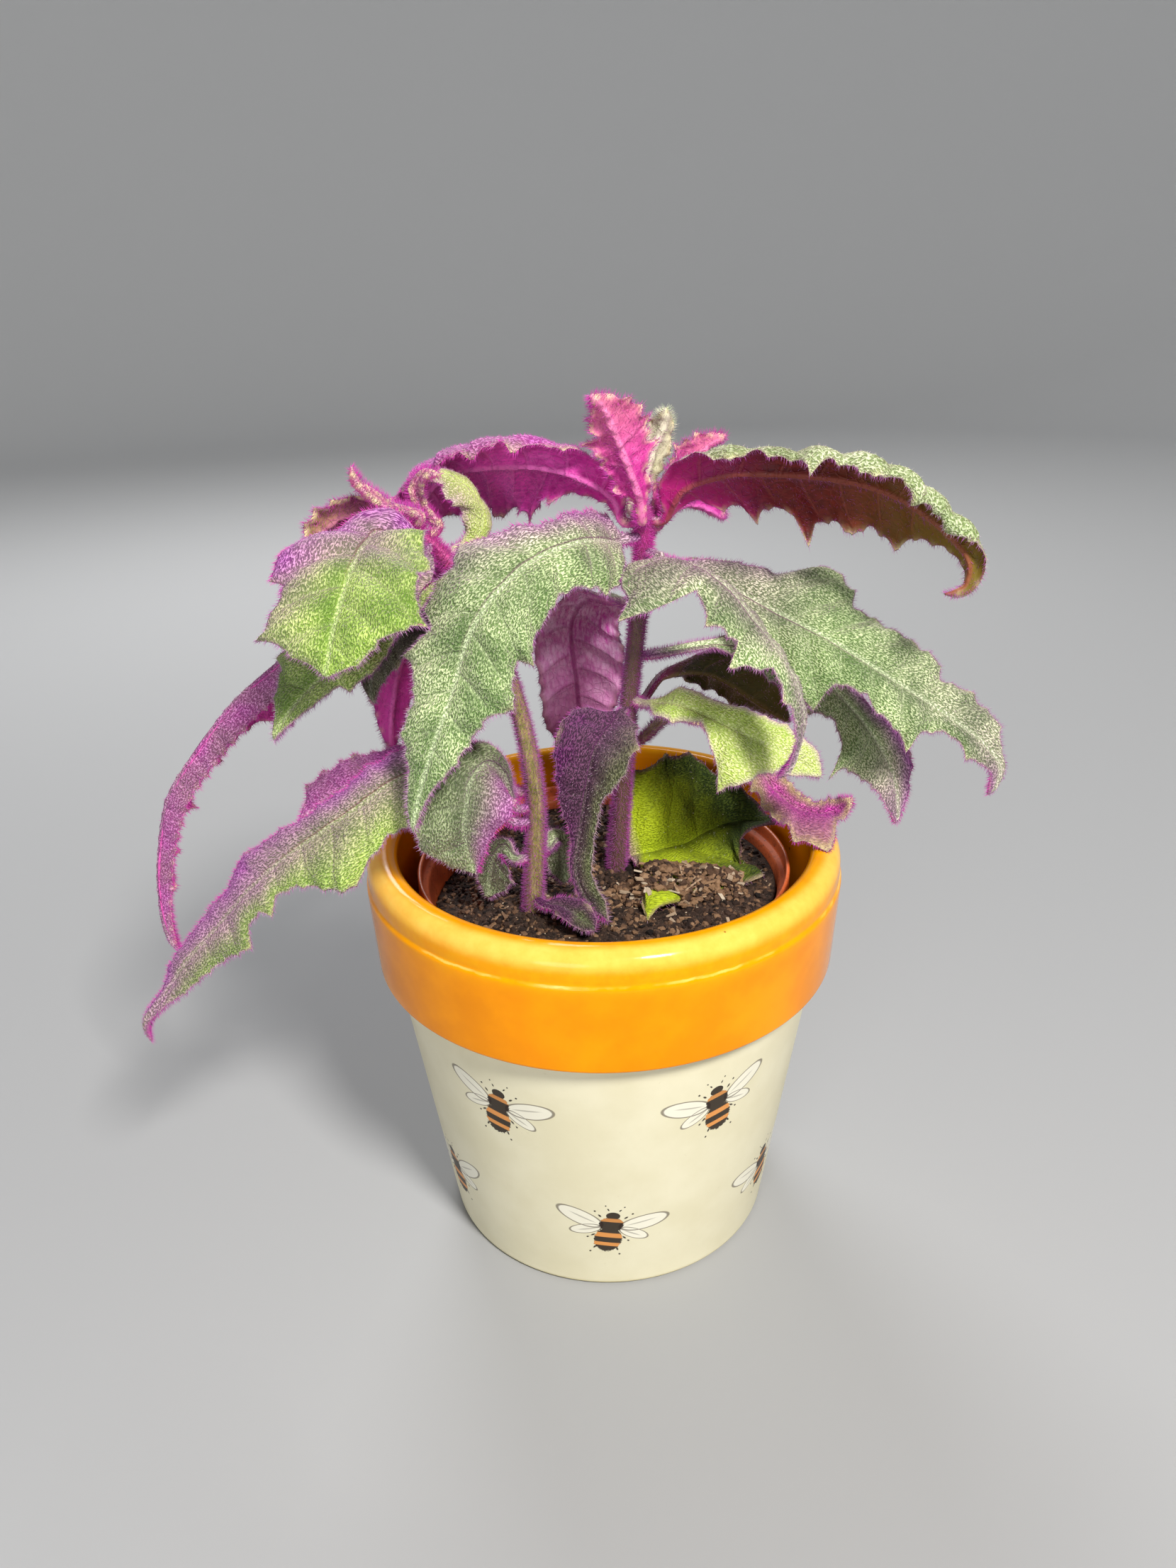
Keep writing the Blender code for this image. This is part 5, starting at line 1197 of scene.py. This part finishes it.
# The long leaf reaching down to the left, past the pot
leaf("leaf_left_long", "stem_left", 135, 200,
     via=[(-35, -28, 150), (-44, -32, 154.5), (-52, -34, 152), (-60, -35, 146.5), (-69, -36, 141),
          (-79, -37, 134.5), (-90, -38, 125), (-99, -38, 115), (-108, -38, 105), (-117, -38, 93),
          (-122, -38, 86), (-122, -38, 80)],
     face=[(0, (0, -.8, .8)), (.4, (-.2, -.9, .7)), (.8, (-.4, -.9, .5)), (1, (-.8, -.8, .1))],
     left=[(.05, 1.5), (.10, 9), (.16, 15), (.28, 12), (.33, 10.5), (.36, 12.5), (.40, 17.5), (.43, 16),
           (.48, 11), (.51, 8.5), (.56, 6.5), (.585, 10), (.605, 6.5), (.64, 7), (.66, 11.5), (.69, 9.5),
           (.72, 8), (.78, 6.5), (.84, 5), (.9, 2.2)],
     right=[(.05, 1.5), (.12, 8), (.28, 8), (.46, 7), (.56, 9.5), (.605, 9), (.64, 6), (.69, 8),
            (.74, 5.5), (.78, 5.5), (.84, 4.5), (.88, 2), (.94, 2)],
     fold=(((0, -10), (1, -15)), ((0, -10), (1, -15))), roll=(-10, -10), sweep=SWEPT,
     finish=BRIGHT_GREEN,
     wash=(((0, .5), (.22, .3), (.35, .02), (.75, .15), (1, .7)), ((0, .6), (.4, .45), (.7, .7), (1, .9)), 1))

# A small rolled leaf just above it
leaf("leaf_left_lobe", "stem_left", 143, 165,
     via=[(-30, -14, 149), (-40, -14, 151), (-51, -14, 149), (-62, -13, 145), (-72, -12, 140),
          (-81, -13, 132)],
     face=[(0, (0, -.7, .8)), (1, (-.4, -.9, .5))],
     left=[(.1, 1.5), (.25, 5), (.5, 7), (.7, 7), (.88, 4)],
     right=[(.1, 1.5), (.25, 6), (.53, 6), (.68, 8), (.80, 7.5), (.88, 6.5)],
     fold=(-10, -10), roll=(-30, -60), sweep=20, finish=PURPLE,
     wash=(.95, .85, .95))

# The long thin arching leaf at the far left, folded edge-on with small hooked teeth
leaf("leaf_left_outer", "stem_left", 192, 185,
     via=[(-46, -12, 194), (-56, -9, 192), (-64, -6, 189), (-73, -4, 183), (-85, -3, 174), (-97, -2, 164),
          (-110, -2, 150), (-119, -2, 137), (-125, -2, 122), (-128, -2, 108), (-128, -2, 94),
          (-125, -2, 85)],
     face=[(0, (-.2, -.1, 1)), (.4, (-.6, -.2, .7)), (.7, (-.9, -.2, .3)), (1, (-1, -.2, -.1))],
     left=[(.08, 1.5), (.18, 5), (.3, 8), (.42, 7.5), (.57, 7), (.65, 6), (.75, 5.5), (.87, 4.5),
           (.95, 2.5)],
     right=[(.08, 1.5), (.18, 6), (.3, 8), (.37, 13), (.42, 15), (.46, 20), (.49, 12), (.52, 9), (.57, 6.5),
            (.59, 9.5), (.605, 6), (.68, 6), (.70, 9.5), (.715, 5.5), (.78, 5), (.80, 7), (.815, 4.5),
            (.87, 6), (.89, 3.5), (.95, 2.5)],
     fold=(-72, -66), sweep=((0, 0), (.3, 15), (1, 25)), scale=10, finish=PURPLE,
     wash=(.8, .9, .8))

# The left shoot's broad front leaf
leaf("leaf_left_shoot_front", "stem_left", 206, 235,
     via=[(-51, -20, 211), (-53, -28, 210), (-55, -37, 206.5), (-57, -45, 200.5), (-59, -50, 193),
          (-60, -51, 186)],
     face=[(0, (0, -.7, .7)), (.5, (-.1, -1, .7)), (1, (-.2, -1, .4))],
     left=[(.05, 1.5), (.09, 9), (.13, 14), (.18, 12.5), (.24, 10.5), (.35, 13), (.44, 18), (.5, 16),
           (.60, 18), (.65, 22), (.70, 17), (.77, 12), (.86, 9)],
     right=[(.05, 1.5), (.15, 5), (.28, 7), (.35, 9), (.42, 16.5), (.48, 19), (.55, 19.5), (.59, 15),
            (.65, 14), (.72, 16.5), (.78, 20), (.84, 12), (.92, 6)],
     fold=(((0, 10), (1, 0)), ((0, 5), (1, -5))), roll=(-10, -10),
     sweep=((0, -50), (.3, -5), (.5, 15), (1, 25)), finish=BRIGHT_GREEN,
     wash=(((0, .7), (.3, .1), (1, .0)), ((0, .95), (.42, .55), (.62, .05), (1, 0)),
           ((0, 1), (.48, 1), (.68, .4), (1, .1))))

# Below it, a pointed leaf hanging outwards
leaf("leaf_left_shoot_lower", "stem_left", 199, 250,
     via=[(-42, -24, 197), (-52, -27, 191), (-60, -30, 184), (-68, -32, 178), (-74, -33, 172),
          (-79, -33, 164)],
     face=[(0, (-.2, -.4, 1)), (.5, (-.3, -.8, .6)), (1, (-.4, -1, .2))],
     left=[(.12, 1.5), (.25, 6), (.46, 9), (.58, 8), (.61, 5.5), (.70, 5), (.85, 3)],
     right=[(.12, 1.5), (.3, 8), (.5, 11), (.70, 15), (.74, 10), (.78, 8), (.9, 3.5)],
     fold=(0, -10), roll=(-10, -10), sweep=SWEPT, finish=BRIGHT_GREEN)

# Low leaf in front of the left stem, its outer edge lit purple
leaf("leaf_front_low", "stem_left", 139, 200,
     via=[(-25, -26, 151), (-28, -31, 156), (-31.5, -36, 154), (-33, -39.5, 147), (-33.5, -40, 138),
          (-31.5, -39, 130)],
     face=[(0, (.2, -.6, 1)), (.35, (.2, -1, .6)), (.6, (.1, -1, .3)), (1, (-.1, -1, .1))],
     left=[(.2, 1.5), (.38, 5), (.5, 9), (.6, 12), (.68, 11), (.76, 7), (.8, 6), (.88, 4.5)],
     right=[(.2, 1.5), (.38, 4), (.5, 8), (.65, 11), (.76, 13), (.83, 12), (.92, 6)],
     fold=(5, -5), roll=(-30, -10), sweep=((0, -30), (.4, -5), (1, 20)), finish=SHADED,
     wash=(((0, .6), (.4, .95), (1, 1)), ((0, .4), (.5, .12), (1, .1)), ((0, .3), (.5, .05), (1, .1))))

# The right crown's long leaf, maroon underside to the front, its upper margin rolled over
leaf("leaf_right_arching", "stem_right", 208.5, -12,
     via=[(21, -5, 217), (30, -8, 220.5), (42, -10, 221), (58, -12, 219.5), (72, -14, 215),
          (84, -17, 207), (89, -19, 200), (88, -20, 194.5), (83, -21, 193.5)],
     face=[(0, (0, .3, 1)), (.15, (0, .8, .5)), (.8, (.3, .8, .4)), (1, (.8, .3, -.3))],
     left=[(.06, 1.5), (.12, 6), (.18, 12), (.22, 10.5), (.28, 15.5), (.31, 11.5), (.37, 11.5), (.41, 20.5),
           (.44, 14.5), (.50, 12.5), (.54, 15), (.60, 11), (.68, 13), (.73, 7), (.80, 4), (.90, 2)],
     right=[(.06, 1.5), (.12, 6), (.2, 10), (.25, 13), (.28, 10.5), (.37, 12), (.42, 15), (.45, 12),
            (.55, 14), (.60, 11.5), (.66, 14), (.70, 10.5), (.78, 10.5), (.83, 7), (.9, 3.5)],
     fold=(0, 10), roll=(-15, ((0, -150), (.6, -160), (.8, -420), (1, -900))),
     sweep=((0, 0), (.3, 15), (1, 25)), scale=14, finish=MAROON,
     wash=(((0, 1), (.15, .5), (.25, .1), (1, 0)), ((0, 1), (.2, .2), (1, 0)),
           ((0, 1), (.15, .5), (.25, .1), (1, 0))))

# Its fellow to the left, magenta underside to the front
leaf("leaf_left_arching", "stem_right", 208.5, 195,
     via=[(4, 0.5, 214.5), (-3, -0.5, 219), (-13, 0, 222), (-27, 6, 221.5), (-38, 13, 218), (-47, 18, 210.5),
          (-53, 21, 203)],
     face=[(0, (-.3, .3, 1)), (.2, (0, .8, .5)), (.8, (-.3, .8, .5)), (1, (-.5, .6, .3))],
     left=[(.08, 1.5), (.15, 5), (.24, 8), (.30, 12), (.33, 9.5), (.40, 13), (.44, 10.5), (.52, 13),
           (.56, 11), (.64, 13), (.72, 11), (.85, 8), (.93, 5)],
     right=[(.08, 1.5), (.15, 4), (.24, 6), (.29, 11), (.32, 9.5), (.38, 14), (.41, 19), (.45, 15.5),
            (.53, 16), (.57, 19), (.60, 17), (.72, 15), (.85, 10), (.93, 5)],
     fold=(10, 0), roll=(-150, -15), sweep=((0, 0), (.3, 10), (1, 25)), scale=14, finish=PURPLE,
     wash=(((0, 1), (1, .85)), .9, ((0, .8), (1, .3))))

# A leaf hanging down behind the stems, shiny magenta underside to the front
leaf("leaf_back_hanging", "stem_right", 183, 105,
     via=[(3, 16, 184), (-3, 26, 182), (-8, 35, 171), (-7, 40, 152), (-6, 41, 134), (-5, 39, 125)],
     face=[(0, (-.2, .6, 1)), (.35, (-.2, 1, .6)), (.6, (0, 1, .1)), (1, (0, 1, -.2))],
     left=[(.12, 1.5), (.2, 4), (.34, 6), (.46, 10.5), (.53, 12), (.65, 12), (.79, 12), (.87, 9), (.94, 5)],
     right=[(.12, 1.5), (.2, 8), (.30, 15), (.50, 17), (.65, 15.5), (.75, 12), (.88, 7)],
     fold=(5, 5), roll=(-20, -20), sweep=((0, 0), (.4, 20), (1, 25)), finish=GLOSSY_PAINTED_GLINTS)

# The old broad leaf, one half lying on the peat and the other leaning up behind
old_leaf = leaf(
    "leaf_old_on_soil", "stem_right", 111.2, 30,
    via=[(15, 6, 111.8), (24, 9, 112.3), (32, 14, 114), (40, 14, 116.5), (47, 9, 119), (52, 4, 121.5)],
    face=[(0, (0, -.1, 1)), (.7, (0, -.2, 1)), (1, (0, -.2, 1))],
    left=[(.04, 1.5), (.08, 12), (.16, 23), (.33, 27), (.53, 25), (.62, 17), (.72, 8), (.82, 3)],
    right=[(.03, 1.5), (.07, 20), (.12, 32), (.20, 27), (.23, 22), (.32, 23), (.42, 25), (.53, 24),
           (.62, 19), (.70, 12), (.78, 6), (.88, 3)],
    fold=(((0, 60), (.6, 65), (.85, 20), (1, 0)), ((0, 3), (.6, -5), (.85, 0), (1, 0))), roll=(10, 0),
    sweep=((0, -12), (.5, 5), (1, 20)), scale=30, finish=OLD,
    wash=(0, 0, 0))

# A curled leaf end reaching over the rim at the right
leaf("leaf_rim_curl", "stem_right", 147, 35,
     via=[(20, 14, 150), (34, 18, 145), (43, 15, 137), (49, 9, 129), (55, 4, 125.5), (61, 0, 125),
          (66, -1, 127), (69, -2, 131)],
     face=[(0, (0, -.3, 1)), (.6, (.2, -.4, .9)), (.8, (0, -.15, 1)), (.9, (-.2, -.2, 1)),
           (1, (-.8, -.5, .3))],
     left=[(.15, 1.5), (.3, 4), (.5, 5), (.65, 5), (.8, 4), (.9, 5), (.96, 3)],
     right=[(.15, 1.5), (.3, 4), (.5, 5), (.65, 6), (.76, 9), (.84, 15), (.88, 16), (.91, 6), (.96, 3)],
     fold=(20, 4), roll=(60, 6), sweep=10, finish=CURLED,
     wash=(((0, .1), (.6, .1), (.8, .3), (1, .3)), ((0, .1), (.55, .1), (.7, 1), (1, 1)),
           ((0, .1), (.6, .1), (.8, .35), (1, .35))))

# The right crown's young leaves
leaf("leaf_crown_young", "stem_right", 209.8, 265,
     via=[(10.5, -7, 215), (8.5, -8.5, 221), (5, -9.5, 230), (2, -12, 237), (-1, -15, 240)],
     face=[(0, (0, 1, .2)), (1, (0, 1, .3))],
     left=[(.2, 1.5), (.3, 3.5), (.4, 3.5), (.5, 8), (.55, 6), (.63, 8.5), (.68, 7), (.75, 7), (.85, 4)],
     right=[(.2, 1.5), (.3, 4.5), (.4, 5), (.5, 6.5), (.55, 5), (.63, 8.5), (.68, 4), (.75, 5.5),
            (.85, 3.5)],
     fold=(10, 10), roll=(20, 20), sweep=10, finish=PINK)
leaf("leaf_crown_woolly", "stem_right", 210, 125,
     via=[(11.5, 6, 216), (14, 9, 223), (17, 10, 230), (17.5, 8, 234)],
     face=[(0, (0, 1, .1)), (1, (0, 1, .3))],
     left=[(.2, 1.5), (.4, 4), (.65, 5), (.85, 3)], right=[(.2, 1.5), (.4, 4.5), (.55, 6), (.8, 4)],
     fold=(20, 20), roll=(20, 20), finish=WOOLLY)
leaf("leaf_crown_right", "stem_right", 206.3, 32,
     via=[(15.5, 4, 212), (21, 7, 219), (27, 9, 224.5), (33, 10, 227)],
     face=[(0, (-.3, .3, 1)), (1, (-.2, .8, .6))],
     left=[(.15, 1.5), (.35, 4), (.6, 5), (.85, 3)], right=[(.15, 1.5), (.35, 5), (.6, 6), (.8, 4)],
     fold=(15, 15), roll=(20, 20), finish=PINK)
leaf("leaf_crown_right_low", "stem_right", 204, 65,
     via=[(16, 7, 207), (22, 12, 210), (28, 15, 209), (34, 15, 205)],
     face=[(0, (0, .5, 1)), (1, (.2, .8, .6))],
     left=[(.15, 1.5), (.35, 5), (.6, 6), (.85, 3)], right=[(.15, 1.5), (.35, 5), (.6, 7), (.8, 5)],
     fold=(5, 5), roll=(10, -30), finish=PURPLE,
     wash=(.6, .6, .6))

# The left shoot's young leaves: a spike, a curl, a rolled leaf and a cupped one
leaf("leaf_left_shoot_spike", "stem_left", 209, 180, pitch=70,
     via=[(-50, -11.5, 215), (-54, -12, 218), (-57, -13, 221.5), (-57.5, -14, 225)],
     face=[(0, (.5, -.6, .6)), (1, (.9, -.4, .2))],
     left=[(.2, 1.4), (.6, 2), (.85, 1.4)], right=[(.2, 1.4), (.6, 2), (.85, 1.4)],
     fold=(30, 30), finish=PINK)
leaf("leaf_left_shoot_curl", "stem_left", 207.2, 60, pitch=50,
     via=[(-42, -9, 214), (-43, -9, 218), (-41, -10.5, 222), (-37, -12, 222.5)],
     face=[(0, (-.6, -.6, .4)), (1, (.2, -.8, .7))],
     left=[(.2, 1.4), (.6, 2.6), (.85, 1.6)], right=[(.2, 1.4), (.6, 2.6), (.85, 1.6)],
     fold=(30, 30), finish=PINK)
leaf("leaf_left_shoot_rolled", "stem_left", 208.2, 110,
     via=[(-49, -6, 212), (-56, -6, 213.5), (-63, -6, 212), (-69, -6, 207.5), (-72.5, -8, 201)],
     face=[(0, (0, .3, 1)), (.4, (0, .8, .6)), (1, (-.5, .7, .3))],
     left=[(.15, 1.5), (.3, 4.5), (.5, 5.5), (.75, 5), (.9, 2.5)],
     right=[(.15, 1.5), (.3, 6), (.42, 9), (.5, 7.5), (.62, 9), (.75, 7), (.9, 3)],
     fold=(0, 10), roll=(0, -120), scale=9, finish=BUDDING,
     wash=(.3, .7, .3))
leaf("leaf_left_shoot_cupped", "stem_left", 203, 60,
     via=[(-30, -7, 206), (-28, -4, 212), (-31, -3, 218), (-37, -4, 222), (-42, -7, 220)],
     face=[(0, (.8, -.3, .4)), (.5, (.9, -.3, .5)), (1, (-.2, -.2, 1))],
     left=[(.15, 1.5), (.3, 6), (.5, 8), (.7, 7), (.88, 4)],
     right=[(.15, 1.5), (.3, 6), (.5, 8), (.7, 7), (.88, 4)],
     fold=(-20, -20), roll=(-40, -40), scale=9, finish=SUNLIT,
     wash=(.6, .1, .6))

# Two darker leaves behind the left shoot, the second darkened with painted shade
leaf("leaf_left_back_dark", "stem_left", 187, 110,
     via=[(-32, -5, 190), (-42, 5, 187), (-52, 15, 176), (-58, 21, 160), (-61, 22, 146), (-61, 20, 137)],
     face=[(0, (-.2, .4, 1)), (.5, (-.3, .9, .3)), (1, (-.3, 1, 0))],
     left=[(.15, 1.5), (.3, 6), (.5, 9), (.6, 7), (.75, 8), (.88, 4)],
     right=[(.15, 1.5), (.3, 6), (.5, 8), (.65, 9), (.75, 6), (.88, 4)],
     fold=(5, 5), roll=(-20, -20), finish=PURPLE)
leaf("leaf_left_back_small", "stem_left", 179, 150,
     via=[(-36, -11, 183), (-47, -5, 183), (-56, 0, 177), (-61, 2, 169), (-61, 2, 160)],
     face=[(0, (-.2, -.3, 1)), (.6, (-.3, -.8, .4)), (1, (-.3, -1, .2))],
     left=[(.15, 1.5), (.4, 5), (.6, 8), (.8, 6), (.9, 3)], right=[(.15, 1.5), (.4, 5), (.6, 7), (.85, 4)],
     fold=(5, 5), roll=(-20, -20), finish=DEEP_SHADE_GREEN)

# Small leaves low down at the peat
leaf("leaf_soil_left", "stem_left", 124, 195,
     via=[(-26, -20, 127), (-29.5, -18, 122), (-31, -17, 115), (-31.5, -17, 110)],
     face=[(0, (-.5, -.5, 1)), (.5, (-.5, -1, .2)), (1, (-.3, -1, .2))],
     left=[(.2, 1.5), (.4, 6), (.6, 7.5), (.8, 5.5)], right=[(.2, 1.5), (.4, 4), (.6, 5), (.8, 4)],
     fold=(-5, -5), roll=(-20, -20), finish=SHADED)
leaf("leaf_soil_centre", "stem_left", 125, 55,
     via=[(-13, -13, 126), (-11.5, -11, 121), (-11, -10.5, 115), (-11, -10.5, 110.5)],
     face=[(0, (.2, -.5, 1)), (.5, (.2, -1, .2)), (1, (.2, -1, .2))],
     left=[(.2, 1.5), (.4, 4), (.6, 5), (.8, 4)], right=[(.2, 1.5), (.4, 4), (.6, 5), (.8, 4)],
     fold=(-5, -5), roll=(-10, -10), finish=SHADED)
leaf("leaf_soil_sprout", "stem_left", 112, -55,
     via=[(-12, -27, 113), (-8.5, -31, 113.5), (-5, -34, 112), (-2.5, -36, 110.5)],
     face=[(0, (0, -.4, 1)), (1, (.2, -.7, .7))],
     left=[(.2, 1.5), (.45, 4), (.7, 4.5), (.88, 3)], right=[(.2, 1.5), (.45, 4), (.7, 3.5), (.88, 2.5)],
     fold=(5, 5), roll=(-20, -20), finish=DUSKY_IN_SHADE,
     wash=(1, ((0, .9), (.55, .8), (.75, 0), (1, .2)), ((0, 1), (.6, 1), (.8, .4), (1, .6))))

# Two leaves on the side that faces away
leaf("leaf_back_right", "stem_right", 187, 60,
     via=[(20, 14, 191), (32, 28, 190), (46, 41, 181), (56, 50, 167), (61, 54, 152)],
     face=[(0, (0, .2, 1)), (.6, (.3, .5, .7)), (1, (.5, .7, .2))],
     left=[(.12, 1.5), (.22, 9), (.32, 13), (.36, 10), (.48, 15), (.53, 11), (.68, 13), (.73, 9), (.88, 5)],
     right=[(.12, 1.5), (.22, 8), (.32, 13), (.36, 10), (.48, 14), (.53, 11), (.68, 12), (.73, 9),
            (.88, 5)],
     fold=(-5, -5), roll=(-15, -15), sweep=20)
leaf("leaf_back_left", "stem_left", 194, 80,
     via=[(-28, -4, 197), (-31, 10, 197.5), (-37, 26, 194), (-45, 40, 184), (-51, 48, 170), (-54, 51, 158)],
     face=[(0, (0, .1, 1)), (.6, (-.3, .6, .7)), (1, (-.3, .8, .2))],
     left=[(.12, 1.5), (.22, 9), (.32, 13), (.36, 10), (.48, 14), (.53, 11), (.68, 12), (.73, 9), (.88, 5)],
     right=[(.12, 1.5), (.22, 8), (.32, 13), (.36, 10), (.48, 15), (.53, 11), (.68, 13), (.73, 9),
            (.88, 5)],
     fold=(-5, -5), roll=(-15, -15), sweep=20)


# Bark. A little heap of loose composted bark, spilt over the old leaf and the peat in front of it: round
# brown granules, finer crumbs and a few long paler chips.
HEAP_AT = (21, -11)
HEAP_REACH = (20, 7.5)
HEAP_HIGH = 2.2
HEAP_STEP = 0.8
HEAP_CELLS = (26, 13)
HEAP_BELOW_Z = 119                          # the heap stops where the old leaf climbs past this
RAY_FROM_Z = 125                            # above everything that the heap lies on

under_heap = [old_leaf, peat_fill]
bpy.context.view_layer.update()
heap = bmesh.new()
columns = {}
for i in range(-HEAP_CELLS[0], HEAP_CELLS[0] + 1):
    for j in range(-HEAP_CELLS[1], HEAP_CELLS[1] + 1):
        px, py = HEAP_AT[0] + i * HEAP_STEP, HEAP_AT[1] + j * HEAP_STEP
        wobble = 0.25 * noise.noise(Vector((px * 0.15, py * 0.15, 5.0)))
        inside = 1 + wobble - math.hypot((px - HEAP_AT[0]) / HEAP_REACH[0], (py - HEAP_AT[1]) / HEAP_REACH[1])
        above = Vector((px * MM, py * MM, RAY_FROM_Z * MM))
        lit = [piece.ray_cast(above, Vector((0, 0, -1))) for piece in under_heap]
        tops = [hit[1].z for hit in lit if hit[0]]
        if inside > 0 and tops and max(tops) < HEAP_BELOW_Z * MM:
            rise = HEAP_HIGH * (1 - (1 - min(1, inside * 1.4)) ** 2)
            columns[i, j] = heap.verts.new((px * MM, py * MM, max(tops) + rise * MM))
for i, j in list(columns):
    corners = [columns.get(at) for at in ((i, j), (i + 1, j), (i + 1, j + 1), (i, j + 1))]
    if None not in corners:
        heap.faces.new(corners)
mesh = bpy.data.meshes.new("heap_bed")
heap.to_mesh(mesh)
heap.free()
heap_bed = bpy.data.objects.new("heap_bed", mesh)
link(heap_bed)
strewn("bark_granules", heap_bed, 0.5, 1.6, 3.6, ((.7, .6, .5), (1, 1, .8)), CRUMB, 51, 0.38, 0.9)
strewn("bark_crumbs", heap_bed, 1.6, 0.7, 1.7, ((.7, .5, .4), (1, 1, .8)), CRUMB, 63, 0.15, 0.9)
strewn("bark_chips", heap_bed, 0.16, 3.0, 8.0, ((.9, .1, .05), (1, .22, .1)), CHIP, 77, 0.8, 1.0)
bpy.data.objects.remove(heap_bed)


# Hairs. Fine soft purple hairs over the whole plant, densest on the margins, stems and young leaves. On
# the old tops they are short and thin out. Each is one tapered bristle growing out of the skin.
HAIRS_TO_A_SQUARE_MM = 1.0
HAIR_R = 0.06
HAIR_TANGLE = 0.42

# The skins' own attributes, which the hairs don't need
SKIN_LAYERS = ("fuzz", "hair", "flush", "comb", "under", "edge", "wash", "along", "ridge", "horn")

hair_finish, place, shader = surface("purple_hair", {"Sheen Weight": 0.3, "Specular IOR Level": 0.5})
shade = place.attribute("shade")
tone = shade.node("ShaderNodeValToRGB", {"stops": [
    (0.0, (208, 224, 176)), (0.3, (190, 168, 178)), (0.55, (164, 102, 160)),
    (0.8, (156, 56, 144)), (1.0, (204, 44, 166))]}, {0: shade})
feed(shader, Base_Color=tone, Roughness=0.5 + shade * 0.1)


def fur(name, skins, seed):
    """The hairs of several skins, as one piece."""
    copies = [bpy.data.objects.new(name + "_bed", source.data.copy()) for source in skins]
    for copy in copies:
        link(copy)
    with bpy.context.temp_override(active_object=copies[0], selected_editable_objects=copies):
        bpy.ops.object.join()
    bed = copies[0]
    tree = Tree(name, {"Per square metre": HAIRS_TO_A_SQUARE_MM * 1e6, "Radius": HAIR_R * MM,
                       "Tangle": HAIR_TANGLE, "Seed": seed, "Finish": hair_finish})
    cast = tree.cast(tree.size("Per square metre") * tree.stored("fuzz"))
    square = Wire(tree.tree, cast.output.node.outputs["Normal"])
    mess = tree.between_vectors((-1, -1, -1), (1, 1, 1), seed + 1)
    mess = tree.node("ShaderNodeVectorMath", {"operation": 'SCALE'}, {0: mess, "Scale": tree.size("Tangle")})
    combed = tree.stored("comb", 'FLOAT_VECTOR')
    lean = tree.node("ShaderNodeVectorMath", {"operation": 'ADD'}, {0: square, 1: combed})
    lean = tree.node("ShaderNodeVectorMath", {"operation": 'ADD'}, {0: lean, 1: mess})
    turn = tree.node("FunctionNodeAlignRotationToVector", {"axis": 'Z'}, {"Vector": lean})
    length = tree.stored("hair") * tree.between(0.6, 1.25, seed + 2) * MM
    size = tree.node("ShaderNodeCombineXYZ", (), {0: tree.size("Radius"), 1: tree.size("Radius"), 2: length})
    shaded = tree.shaded(cast, tree.stored("flush") + tree.between(-0.16, 0.16, seed + 3))
    bristle = tree.node("GeometryNodeMeshCone", {"fill_type": 'NGON'}, {
        "Vertices": 3, "Side Segments": 1, "Fill Segments": 1, "Radius Top": 0.0, "Radius Bottom": 1.0,
        "Depth": 1.0})
    tree.plant(bristle, shaded, turn, size)
    made = tree.made_on(bed, name)
    bpy.data.objects.remove(bed)
    layers = made.data.attributes
    for key in [layer.name for layer in layers if layer.name in SKIN_LAYERS]:
        layers.remove(layers[key])
    show(made, None, hair_finish)


by_slot = {}
for blade, slot in blades:
    by_slot.setdefault(slot, []).append(blade)
for number, (slot, skins) in enumerate(by_slot.items()):
    fur("hairs_of_" + slot, skins, 100 + 7 * number)
fur("hairs_of_stems", grown, 91)
